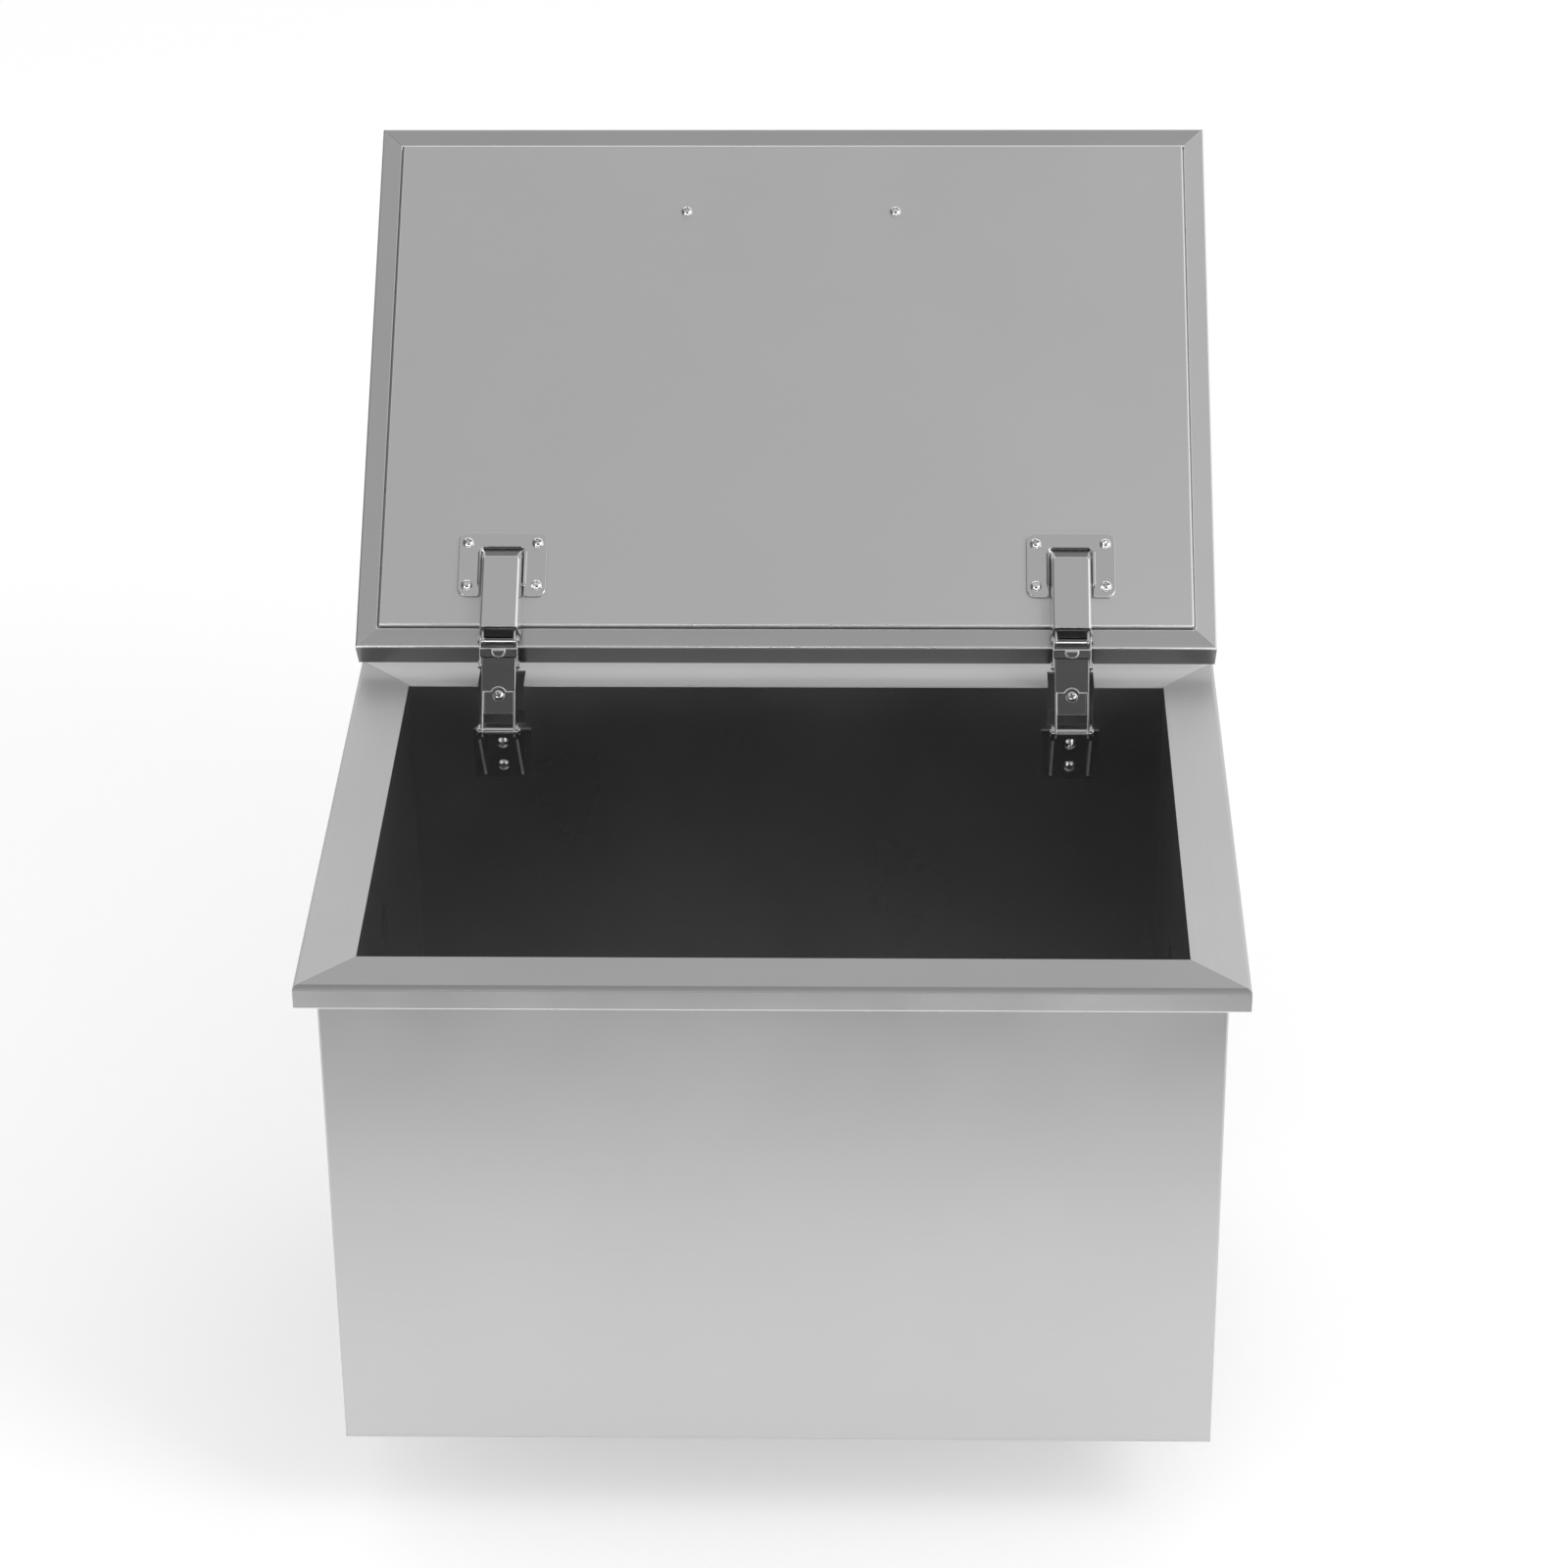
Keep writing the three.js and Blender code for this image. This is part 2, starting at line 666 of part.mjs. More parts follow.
function lidFoam() {
  const half = lidWidth / 2 - sheet - fitGap;
  const low = sheet - lidThickness + fitGap;
  const step = -linerTuck - fitGap;
  const slab = block(
    -half, half, sheet + fitGap, lidLength - sheet - fitGap, low, step,
  );
  const inset = lidRim + fitGap + sheet + fitGap;
  const raised = block(
    inset - lidWidth / 2, lidWidth / 2 - inset, inset, lidLength - inset,
    step - sheet, linerRise - sheet - fitGap,
  );
  const bores = lidBores(low - overrun, linerRise + overrun, fitGap + fitGap);
  return cutAll(slab.add(raised), bores);
}

// Bow handle on the outer face, standing off below it in the lid frame
function bowHandle() {
  const face = -lidThickness - fitGap;
  const far = face - handleHeight + handleBar / 2;
  const [x0, x1] = handleFeet;
  const path = new THREE.CurvePath();
  const at = (x, z) => new THREE.Vector3(x, handleRow, z);
  path.add(new THREE.LineCurve3(at(x0, face), at(x0, far + handleBend)));
  path.add(new THREE.QuadraticBezierCurve3(at(x0, far + handleBend), at(x0, far), at(x0 + handleBend, far)));
  path.add(new THREE.LineCurve3(at(x0 + handleBend, far), at(x1 - handleBend, far)));
  path.add(new THREE.QuadraticBezierCurve3(at(x1 - handleBend, far), at(x1, far), at(x1, far + handleBend)));
  path.add(new THREE.LineCurve3(at(x1, far + handleBend), at(x1, face)));
  const section = new THREE.Shape();
  section.absarc(0, 0, handleBar / 2, 0, 2 * halfTurn);
  const bar = new THREE.ExtrudeGeometry(section, {
    steps: 3 * arcSteps,
    bevelEnabled: false,
    extrudePath: path,
    curveSegments: arcSteps / 2,
  });
  const threads = handleFeet.map((x) =>
    rodZ(screwRadius + fitGap, face - handleThread - overrun, face + overrun, x, handleRow, screwSides),
  );
  return cutAll(solid(bar), threads);
}

// Drain parts round the vertical line through the middle of the tank floor
function ringZ(outer, inner, z0, z1, sides = roundSides) {
  return rodZ(outer, z0, z1, 0, 0, sides).subtract(
    rodZ(inner, z0 - overrun, z1 + overrun, 0, 0, sides),
  );
}

const drainEnd = casingFloor - drainStub;
const flangeUnder = tankFloor;
const gasketBottom = casingFloor - gasketHeight;
const nutBottom = gasketBottom - nutHeight;
const pipeBottom = drainEnd + tailpipeOverlap - tailpipeLength;

function drainBody() {
  const flange = rodZ(drainFlangeRadius, flangeUnder, flangeUnder + drainFlangeHeight);
  const pipe = rodZ(drainPipeRadius, drainEnd, flangeUnder + drainFlangeHeight);
  const bore = rodZ(drainBore, drainEnd - overrun, flangeUnder + drainFlangeHeight + overrun);
  return flange.add(pipe).subtract(bore);
}

function lockNut() {
  const corner = nutAcross / 2 / Math.cos(halfTurn / 6);
  const hexagon = rodZ(corner, nutBottom, gasketBottom, 0, 0, 6);
  const bore = rodZ(drainPipeRadius + fitGap, nutBottom - overrun, gasketBottom + overrun);
  return hexagon.subtract(bore);
}

// Tailpipe: a wide socket over the drain's stub, stepped down to its own bore
function tailpipe() {
  const socket = drainEnd + tailpipeOverlap;
  const body = rodZ(tailpipeRadius, pipeBottom, socket);
  const stub = rodZ(drainPipeRadius + fitGap, drainEnd - fitGap, socket + overrun);
  const bore = rodZ(drainBore, pipeBottom - overrun, socket);
  return cutAll(body, [stub, bore]);
}

// Plug: a tapered stopper with a cap and a pull ring
function drainPlug() {
  const seat = flangeUnder + drainFlangeHeight;
  const wide = drainBore - fitGap;
  const stopper = new THREE.CylinderGeometry(wide, wide - plugTaper, plugDepth, roundSides);
  stopper.rotateX(halfTurn / 2);
  stopper.translate(0, 0, seat + fitGap - plugDepth / 2);
  const capTop = seat + fitGap + plugCapHeight;
  const cap = rodZ(plugCapRadius, seat + fitGap, capTop);
  const pull = new THREE.TorusGeometry(pullRadius, pullBar, screwSides / 2, roundSides);
  pull.rotateX(halfTurn / 2);
  pull.translate(0, 0, capTop + pullRadius);
  return joinAll([solid(stopper), cap, solid(pull)]);
}

// Assembly in the rim frame
const bin = new THREE.Group();
bin.name = "drop_in_ice_bin";
const rimFrame = new THREE.Group();
rimFrame.position.set(0, -seatWidth / 2, skirtHeight);
bin.add(rimFrame);
rimFrame.add(
  meshOf("rim_flange", rimFlange(), satinSteel),
  meshOf("inner_tank", innerTank(), tankSteel),
  meshOf("outer_casing", casingShell(), satinSteel),
  meshOf("casing_bottom", casingBottom(), satinSteel),
  meshOf("wall_insulation", wallFoam(), foam),
  meshOf("floor_insulation", floorFoam(), foam),
);

const drain = new THREE.Group();
drain.position.set(0, tankMiddle, 0);
rimFrame.add(drain);
drain.add(
  meshOf("drain_body", drainBody(), polishedSteel),
  meshOf("drain_gasket", ringZ(gasketRadius, drainPipeRadius + fitGap, gasketBottom, casingFloor), rubber),
  meshOf("drain_lock_nut", lockNut(), polishedSteel),
  meshOf("drain_tailpipe", tailpipe(), pipePlastic),
  meshOf("drain_plug", drainPlug(), rubber),
);

const lid = new THREE.Group();
lid.position.set(0, lidCorner.x, lidCorner.y);
lid.rotation.x = lidTilt;
rimFrame.add(lid);
lid.add(
  meshOf("lid_outer_pan", lidShell(), satinSteel),
  meshOf("lid_inner_panel", lidLiner(), linerSteel),
  meshOf("lid_insulation", lidFoam(), foam),
  meshOf("lid_handle", bowHandle(), polishedSteel),
);

const handleScrewLength = linerRise + fitGap + lidThickness + handleThread;
handleFeet.forEach((x, index) => {
  const screw = meshOf(`handle_screw_${index + 1}`, panScrew(handleScrewLength), screwSteel);
  lid.add(placed(screw, x, handleRow, linerRise + fitGap));
});

for (const [side, x] of hingeSides) {
  const seat = new THREE.Group();
  seat.position.x = x;
  rimFrame.add(seat);
  seat.add(
    meshOf(`hinge_pocket_${side}`, hingePocket(), tankSteel),
    meshOf(`tank_bracket_${side}`, tankBracket(), polishedSteel),
    meshOf(`tank_pin_${side}`, hingePin(linkWidth / 2 + runGap + bracketSheet, tankPivot), polishedSteel),
  );
  ["upper", "lower"].forEach((row, index) => {
    const screw = meshOf(`bracket_screw_${row}_${side}`, panScrew(screwLength), screwSteel);
    const front = tankBack - bracketSheet - fitGap;
    seat.add(placed(screw, 0, front, bracketRows[index], halfTurn / 2));
  });

  const link = new THREE.Group();
  link.position.set(0, tankPivot.x, tankPivot.y);
  link.rotation.x = rad(linkOpenAngle);
  seat.add(link);
  const outerHalf = linkWidth / 2 + runGap + yokeSheet;
  const linkScrew = meshOf(`link_screw_${side}`, panScrew(linkDepth / 2), screwSteel);
  link.add(
    meshOf(`link_channel_${side}`, linkChannel(), linkSteel),
    meshOf(`link_inner_arm_${side}`, innerArm(), linkSteel),
    meshOf(`link_pin_${side}`, hingePin(outerHalf, new THREE.Vector2(linkLength, 0)), polishedSteel),
    placed(linkScrew, 0, screwOnLink, innerArmRise + linkSheet + fitGap),
  );

  const yoke = new THREE.Group();
  yoke.position.set(0, linkTop.x, linkTop.y);
  yoke.rotation.x = rad(yokeOpenAngle);
  seat.add(yoke);
  yoke.add(
    meshOf(`yoke_${side}`, yokePlates(), linkSteel),
    meshOf(`lid_pin_${side}`, barrelPin(outerHalf, new THREE.Vector2(yokeLength, 0)), polishedSteel),
  );

  const onLid = new THREE.Group();
  onLid.position.x = x;
  lid.add(onLid);
  onLid.add(
    meshOf(`hinge_arm_${side}`, boxArm(), polishedSteel),
    meshOf(`hinge_plate_${side}`, hingePlate(), polishedSteel),
  );
  plateScrews.forEach(([across, along], index) => {
    const screw = meshOf(`plate_screw_${side}_${index + 1}`, panScrew(screwLength), screwSteel);
    onLid.add(placed(screw, across, along, linerFace + plateSheet + fitGap));
  });
}

export default bin;
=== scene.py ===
import math

import bmesh
import bpy
from mathutils import Matrix, Vector


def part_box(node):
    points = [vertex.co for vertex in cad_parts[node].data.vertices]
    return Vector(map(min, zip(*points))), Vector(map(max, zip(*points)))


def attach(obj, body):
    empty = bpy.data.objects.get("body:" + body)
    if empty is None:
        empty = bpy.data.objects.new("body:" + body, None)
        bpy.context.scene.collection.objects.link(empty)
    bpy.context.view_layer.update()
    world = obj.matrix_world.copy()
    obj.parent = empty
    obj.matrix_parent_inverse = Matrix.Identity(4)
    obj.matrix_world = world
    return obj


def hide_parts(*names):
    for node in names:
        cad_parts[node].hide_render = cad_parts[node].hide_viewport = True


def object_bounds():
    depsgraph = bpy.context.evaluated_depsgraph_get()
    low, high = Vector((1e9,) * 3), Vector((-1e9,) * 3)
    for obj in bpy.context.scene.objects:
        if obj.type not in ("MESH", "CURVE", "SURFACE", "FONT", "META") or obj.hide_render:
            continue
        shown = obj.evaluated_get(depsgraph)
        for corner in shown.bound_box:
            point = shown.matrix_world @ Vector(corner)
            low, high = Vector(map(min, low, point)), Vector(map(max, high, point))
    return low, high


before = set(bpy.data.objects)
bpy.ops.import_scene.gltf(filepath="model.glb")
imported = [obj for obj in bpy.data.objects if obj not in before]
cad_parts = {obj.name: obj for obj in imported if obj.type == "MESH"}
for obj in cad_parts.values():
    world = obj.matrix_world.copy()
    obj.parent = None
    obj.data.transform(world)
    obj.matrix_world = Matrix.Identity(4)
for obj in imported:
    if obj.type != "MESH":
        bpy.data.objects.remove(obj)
solid_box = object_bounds()

# Studio
# A pale floor at the height of the drain's end, white surroundings, two soft boxes and a low
# strip of light, grey and dark cards that only reflections see, and a long lens from above.
mm = 0.001
frame_pixels = 1600
focal_pixels = 4798.0
sensor_width = 36.0
eye = Vector((0.0678, -2.1134, 1.3295))
pitch = math.radians(29.456)
yaw = math.radians(1.622)
roll = math.radians(-0.623)
view_reach = 50.0
fill_level = 0.78

camera_data = bpy.data.cameras.new("camera")
camera_data.sensor_width = sensor_width
camera_data.lens = focal_pixels / frame_pixels * sensor_width
camera_data.clip_end = view_reach
camera = bpy.data.objects.new("camera", camera_data)
turn = Matrix.Rotation(yaw, 4, "Z") @ Matrix.Rotation(math.pi / 2 - pitch, 4, "X")
camera.matrix_world = Matrix.Translation(eye) @ turn @ Matrix.Rotation(roll, 4, "Z")
bpy.context.scene.collection.objects.link(camera)
bpy.context.scene.camera = camera
bpy.context.scene.view_settings.view_transform = "Standard"

surroundings = bpy.data.worlds.new("surroundings")
surroundings.use_nodes = True
world_nodes = surroundings.node_tree.nodes
world_links = surroundings.node_tree.links
world_nodes.clear()
background = world_nodes.new("ShaderNodeBackground")
ray = world_nodes.new("ShaderNodeLightPath")
mirrored = world_nodes.new("ShaderNodeMath")
mirrored.operation = "MAXIMUM"
whitened = world_nodes.new("ShaderNodeMath")
whitened.operation = "MAXIMUM"
tone = world_nodes.new("ShaderNodeMix")
tone.data_type = "RGBA"
tone.inputs["A"].default_value = (fill_level, fill_level, fill_level, 1.0)
tone.inputs["B"].default_value = (1.0, 1.0, 1.0, 1.0)
world_out = world_nodes.new("ShaderNodeOutputWorld")
world_links.new(ray.outputs["Is Glossy Ray"], mirrored.inputs[0])
world_links.new(ray.outputs["Is Transmission Ray"], mirrored.inputs[1])
world_links.new(ray.outputs["Is Camera Ray"], whitened.inputs[0])
world_links.new(mirrored.outputs[0], whitened.inputs[1])
world_links.new(whitened.outputs[0], tone.inputs["Factor"])
world_links.new(tone.outputs["Result"], background.inputs["Color"])
world_links.new(background.outputs["Background"], world_out.inputs["Surface"])
bpy.context.scene.world = surroundings


def standing(name, shape, materials, place=None):
    """A piece at the origin from a bmesh, which is first carried to its place."""
    if place is not None:
        shape.transform(place)
    mesh = bpy.data.meshes.new(name)
    shape.to_mesh(mesh)
    shape.free()
    piece = bpy.data.objects.new(name, mesh)
    bpy.context.scene.collection.objects.link(piece)
    for material in materials:
        mesh.materials.append(material)
    return piece


def matt(name, level, glow):
    """A matt studio surface of one grey, with a little light of its own."""
    material = bpy.data.materials.new(name)
    material.use_nodes = True
    surface = material.node_tree.nodes["Principled BSDF"]
    surface.inputs["Base Color"].default_value = (level, level, level, 1.0)
    surface.inputs["Roughness"].default_value = 1.0
    surface.inputs["Specular IOR Level"].default_value = 0.0
    surface.inputs["Emission Color"].default_value = (1.0, 1.0, 1.0, 1.0)
    surface.inputs["Emission Strength"].default_value = glow
    return material


def sheet_at(name, corners, material):
    """A flat studio surface."""
    shape = bmesh.new()
    shape.faces.new([shape.verts.new(corner) for corner in corners])
    piece = standing(name, shape, [material])
    return piece


def card(name, corners, glow):
    """A black studio card with a glow of its own, which only reflections see."""
    piece = sheet_at(name, corners, matt(name, card_level, glow))
    piece.visible_camera = False
    piece.visible_diffuse = False
    piece.visible_shadow = False


floor_gap = 1.0 * mm
floor_height = solid_box[0][2] - floor_gap
floor_reach = 6.0
floor_level = 0.94
floor_glow = 0.22
card_level = 0.0
over_half = 3.0
over_near = -2.0
over_far = 1.8
over_height = 2.6
over_glow = 0.5
front_half = 1.5
front_place = -2.9
front_low = 0.5
front_high = 3.4
front_glow = 0.1
left_place = -2.4
left_near = -2.2
left_far = 2.6
left_high = 2.4
left_glow = 0.13
low_half = 1.6
low_near = -1.5
low_far = -0.46
low_height = floor_height + 2 * mm
low_glow = 0.1
sheet_at(
    "floor",
    [
        (-floor_reach, -floor_reach, floor_height), (floor_reach, -floor_reach, floor_height),
        (floor_reach, floor_reach, floor_height), (-floor_reach, floor_reach, floor_height),
    ],
    matt("floor_white", floor_level, floor_glow),
)
card(
    "overhead_card",
    [
        (-over_half, over_near, over_height), (over_half, over_near, over_height),
        (over_half, over_far, over_height), (-over_half, over_far, over_height),
    ],
    over_glow,
)
card(
    "front_card",
    [
        (-front_half, front_place, front_low), (front_half, front_place, front_low),
        (front_half, front_place, front_high), (-front_half, front_place, front_high),
    ],
    front_glow,
)
card(
    "left_card",
    [
        (left_place, left_near, floor_height), (left_place, left_far, floor_height),
        (left_place, left_far, left_high), (left_place, left_near, left_high),
    ],
    left_glow,
)
card(
    "low_card",
    [
        (-low_half, low_near, low_height), (low_half, low_near, low_height),
        (low_half, low_far, low_height), (-low_half, low_far, low_height),
    ],
    low_glow,
)


def soft_box(name, place, width, height, power):
    """An area lamp that faces the middle of the object."""
    data = bpy.data.lights.new(name, "AREA")
    data.shape = "RECTANGLE"
    data.size = width
    data.size_y = height
    data.energy = power
    lamp = bpy.data.objects.new(name, data)
    target = (Vector(solid_box[0]) + Vector(solid_box[1])) / 2
    lamp.location = place
    lamp.rotation_euler = (target - Vector(place)).to_track_quat("-Z", "Y").to_euler()
    bpy.context.scene.collection.objects.link(lamp)


key_place, key_size, key_power = (2.2, -1.2, 2.2), 1.4, 22.0
fill_place, fill_size, fill_power = (-2.0, -2.4, 1.0), 1.8, 9.0
strip_place, strip_width, strip_height, strip_power = (0.3, -3.0, -0.05), 2.6, 0.6, 13.5
soft_box("key_box", key_place, key_size, key_size, key_power)
soft_box("fill_box", fill_place, fill_size, fill_size, fill_power)
soft_box("low_strip", strip_place, strip_width, strip_height, strip_power)


# Tank and its two hinge pockets
# A welded box of one millimetre stainless sheet with a hole for the drain. The pockets are
# small trays welded behind the notches in its rear wall.
grain_along = 8.0
grain_across = 1100.0
grain_detail = 4.0
grain_strength = 0.05
grain_depth = 0.02 * mm
cloud_scale = 9.0
cloud_detail = 5.0
cloud_low = 0.3
cloud_high = 0.7
smooth_angle = math.radians(32.0)
sharp_angle = math.radians(30.0)
flat_angle = math.radians(1.0)
cad_weld = 0.004 * mm


def grey(level):
    """A linear colour for a grey that shows as that level out of 255."""
    return tuple(((part / 255.0 + 0.055) / 1.055) ** 2.4 for part in (level, level, level + 1))


def steel(name, level, roughness, grain="X", streak=0.03, wear=0.04, metal=1.0):
    """Stainless sheet: fine grain along one axis and cloudy wear in its gloss. Less metal
    scatters more light, as coarse brushing does."""
    material = bpy.data.materials.new(name)
    material.use_nodes = True
    tree = material.node_tree
    surface = tree.nodes["Principled BSDF"]
    surface.inputs["Metallic"].default_value = metal
    place = tree.nodes.new("ShaderNodeTexCoord")
    stretch = tree.nodes.new("ShaderNodeMapping")
    stretch.inputs["Scale"].default_value = [
        grain_along if axis == grain else grain_across for axis in "XYZ"
    ]
    lines = tree.nodes.new("ShaderNodeTexNoise")
    lines.inputs["Scale"].default_value = 1.0
    lines.inputs["Detail"].default_value = grain_detail
    clouds = tree.nodes.new("ShaderNodeTexNoise")
    clouds.inputs["Scale"].default_value = cloud_scale
    clouds.inputs["Detail"].default_value = cloud_detail
    gloss = tree.nodes.new("ShaderNodeMapRange")
    gloss.inputs["From Min"].default_value = cloud_low
    gloss.inputs["From Max"].default_value = cloud_high
    gloss.inputs["To Min"].default_value = roughness - wear
    gloss.inputs["To Max"].default_value = roughness + wear
    shade = tree.nodes.new("ShaderNodeMix")
    shade.data_type = "RGBA"
    shade.inputs["A"].default_value = (*[part * (1 - streak) for part in grey(level)], 1.0)
    shade.inputs["B"].default_value = (*[part * (1 + streak) for part in grey(level)], 1.0)
    relief = tree.nodes.new("ShaderNodeBump")
    relief.inputs["Strength"].default_value = grain_strength
    relief.inputs["Distance"].default_value = grain_depth
    links = tree.links
    links.new(place.outputs["Object"], stretch.inputs["Vector"])
    links.new(stretch.outputs["Vector"], lines.inputs["Vector"])
    links.new(place.outputs["Object"], clouds.inputs["Vector"])
    links.new(clouds.outputs["Fac"], gloss.inputs["Value"])
    links.new(gloss.outputs["Result"], surface.inputs["Roughness"])
    links.new(lines.outputs["Fac"], shade.inputs["Factor"])
    links.new(shade.outputs["Result"], surface.inputs["Base Color"])
    links.new(lines.outputs["Fac"], relief.inputs["Height"])
    links.new(relief.outputs["Normal"], surface.inputs["Normal"])
    return material


def baked(piece):
    """Turns a piece's live modifiers into plain mesh."""
    view = bpy.context.evaluated_depsgraph_get()
    mesh = bpy.data.meshes.new_from_object(piece.evaluated_get(view), depsgraph=view)
    piece.modifiers.clear()
    piece.data = mesh
    return piece


def levelled(piece):
    """Smooth shading that keeps flat sheet flat and hard corners hard."""
    mesh = piece.data
    mesh.polygons.foreach_set("use_smooth", [True] * len(mesh.polygons))
    mesh.set_sharp_from_angle(angle=smooth_angle)
    flat = piece.modifiers.new("flat", "WEIGHTED_NORMAL")
    flat.keep_sharp = True
    return baked(piece)


def eased(piece, width, segments=2, chosen=False, finish=-1):
    """Rounds a piece's edges by that many millimetres: all sharp ones, or the weighted ones.
    The rounds may take another of the piece's materials."""
    edge = piece.modifiers.new("edge", "BEVEL")
    edge.width = width * mm
    edge.segments = segments
    edge.limit_method = "WEIGHT" if chosen else "ANGLE"
    edge.angle_limit = sharp_angle
    edge.use_clamp_overlap = not chosen
    edge.material = finish
    return levelled(baked(piece))


def edge_weights(shape):
    """The layer that holds each edge's share of the bevel width."""
    layers = shape.edges.layers.float
    return layers.get("bevel_weight_edge") or layers.new("bevel_weight_edge")


def solid_copy(cad_name):
    """A CAD solid as clean, joined faces."""
    shape = bmesh.new()
    shape.from_mesh(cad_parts[cad_name].data)
    bmesh.ops.remove_doubles(shape, verts=shape.verts, dist=cad_weld)
    bmesh.ops.dissolve_limit(
        shape, angle_limit=flat_angle, verts=shape.verts, edges=shape.edges,
    )
    return shape


def fitted(piece, body, slot, *cad_names):
    """Hands a finished piece its body, in place of CAD nodes, which it hides. Its finish is not used.
    """
    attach(piece, body)
    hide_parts(*cad_names)


def folded(cad_name, name, body, slot, material, width=0.25, segments=2):
    """A CAD solid with all its sheet edges eased."""
    piece = standing(name, solid_copy(cad_name), [material])
    fitted(eased(piece, width, segments), body, slot, cad_name)


tank_ease = 0.35
pocket_ease = 0.2
tank_steel = steel("tank_steel", 178, 0.3)
folded("inner_tank", "tank", "bin", "tank_steel", tank_steel, tank_ease)
for side in ("left", "right"):
    folded(f"hinge_pocket_{side}", f"pocket_{side}", "bin", "tank_steel", tank_steel, pocket_ease)

# Casing, bottom and foam
# The casing is folded from thin satin sheet, with a small radius at its upright corners, and
# closed with a flat bottom. Rigid foam fills the space between the two skins.
casing_corner = 1.6
casing_edge_share = 0.1
casing_upright = 50.0
casing_reach = 0.1
bottom_ease = 0.3
foam_cell_scale = 700.0
foam_shade = (0.80, 0.74, 0.46, 1.0)
foam_light = (0.90, 0.86, 0.62, 1.0)
foam_roughness = 0.95
casing_steel = steel("casing_steel", 200, 0.38, streak=0.015)
casing_shape = solid_copy("outer_casing")
casing_low, casing_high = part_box("outer_casing")
weights = edge_weights(casing_shape)
for edge in casing_shape.edges:
    a, b = (vert.co for vert in edge.verts)
    upright = abs(a.z - b.z) > casing_upright * mm
    outside = min(a.x - casing_low[0], casing_high[0] - a.x) < casing_reach * mm
    edge[weights] = 1.0 if upright and outside else casing_edge_share
casing = standing("casing", casing_shape, [casing_steel])
fitted(eased(casing, casing_corner, 4, chosen=True), "bin", "satin_steel", "outer_casing")
folded("casing_bottom", "bottom_plate", "bin", "satin_steel", casing_steel, bottom_ease)

foam = bpy.data.materials.new("foam")
foam.use_nodes = True
foam_nodes = foam.node_tree.nodes
foam_place = foam_nodes.new("ShaderNodeTexCoord")
foam_cells = foam_nodes.new("ShaderNodeTexVoronoi")
foam_cells.inputs["Scale"].default_value = foam_cell_scale
foam_tint = foam_nodes.new("ShaderNodeMix")
foam_tint.data_type = "RGBA"
foam_tint.inputs["A"].default_value = foam_shade
foam_tint.inputs["B"].default_value = foam_light
foam_nodes["Principled BSDF"].inputs["Roughness"].default_value = foam_roughness
foam.node_tree.links.new(foam_place.outputs["Object"], foam_cells.inputs["Vector"])
foam.node_tree.links.new(foam_cells.outputs["Distance"], foam_tint.inputs["Factor"])
foam.node_tree.links.new(
    foam_tint.outputs["Result"], foam_nodes["Principled BSDF"].inputs["Base Color"],
)
for core in ("wall_insulation", "floor_insulation", "lid_insulation"):
    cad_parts[core].data.materials.clear()
    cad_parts[core].data.materials.append(foam)

# Rim
# Four folded strips with mitred, welded and ground corners, notched at the rear for the hinges.
# The grain runs along each strip. Its greys are painted light and shade: the front strip darker, the
# sides and rear lighter, the front fold darkest, and the hem a painted highlight.
rim_fold = 2.6
rim_strip = 31.0
rim_sheet = 1.0
rim_skirt = 14.0
seat_width = 10.0
hem_round = 0.9
seam = 0.2
fold_steps = 5
skirt_top = -2.5
upright_share = 0.99
tray_wall = 0.8
notch_lead = 5
notch_half = 30
rim_gloss = 0.5
brushed = 0.45
# Painted light and shade: the four strips are one brushed steel, a darker grey at the front and
# lighter greys at the sides and rear.
front_grain_shade = steel("rim_front_steel", 168, rim_gloss, "X", metal=brushed)
left_grain_light = steel("rim_left_steel", 193, rim_gloss, "Y", metal=brushed)
right_grain_light = steel("rim_right_steel", 197, rim_gloss, "Y", metal=brushed)
skirt_grain = steel("rim_skirt_steel", 216, 0.36, "X")
fold_grain_shade = steel("rim_fold_steel", 142, rim_gloss, "X", metal=brushed)
rear_grain_light = steel("rim_rear_steel", 222, rim_gloss, "X", metal=brushed)
# A painted highlight: a near-white steel for hems, folds and edge rounds, in place of their bright
# lines.
edge_highlight_steel = steel("worn_edge_steel", 250, 0.28, streak=0.01, wear=0.06)


def fold(inset, height, radius, start, steps=fold_steps):
    """A quarter turn round a centre, clockwise from a start in quarter turns."""
    angles = [math.pi / 2 * (start - step / steps) for step in range(steps + 1)]
    return [(inset + radius * math.cos(a), height + radius * math.sin(a)) for a in angles]


def mitred_run(profile, rectangle, side, material_index, highlit, highlight_index):
    """One closed run of a frame round a rectangle, in millimetres. Sides: front, right,
    rear, left. The edges at its mitres carry a bevel weight, and its highlit strips the
    finish of a painted highlight."""
    x0, x1, y0, y1 = rectangle
    corners = [(x0, y0, 1, 1), (x1, y0, -1, 1), (x1, y1, -1, -1), (x0, y1, 1, -1)]
    ends = corners[side], corners[(side + 1) % 4]
    run = bmesh.new()
    weights = edge_weights(run)
    rings = [
        [run.verts.new(((x + sx * i) * mm, (y + sy * i) * mm, h * mm)) for i, h in profile]
        for x, y, sx, sy in ends
    ]
    count = len(profile)
    for i in range(count):
        j = (i + 1) % count
        run.faces.new((rings[0][i], rings[1][i], rings[1][j], rings[0][j]))
    for ring in rings:
        cap = run.faces.new(ring)
        for edge in cap.edges:
            edge[weights] = 1.0
    bmesh.ops.recalc_face_normals(run, faces=run.faces)
    for index, face in enumerate(run.faces):
        face.material_index = highlight_index if index in highlit else material_index
    return run


def block(low, high):
    """A box between two corners, in millimetres."""
    shape = bmesh.new()
    bmesh.ops.create_cube(shape, size=1.0)
    for vert in shape.verts:
        vert.co = [
            (a if part < 0 else b) * mm for part, a, b in zip(vert.co, low, high)
        ]
    return shape


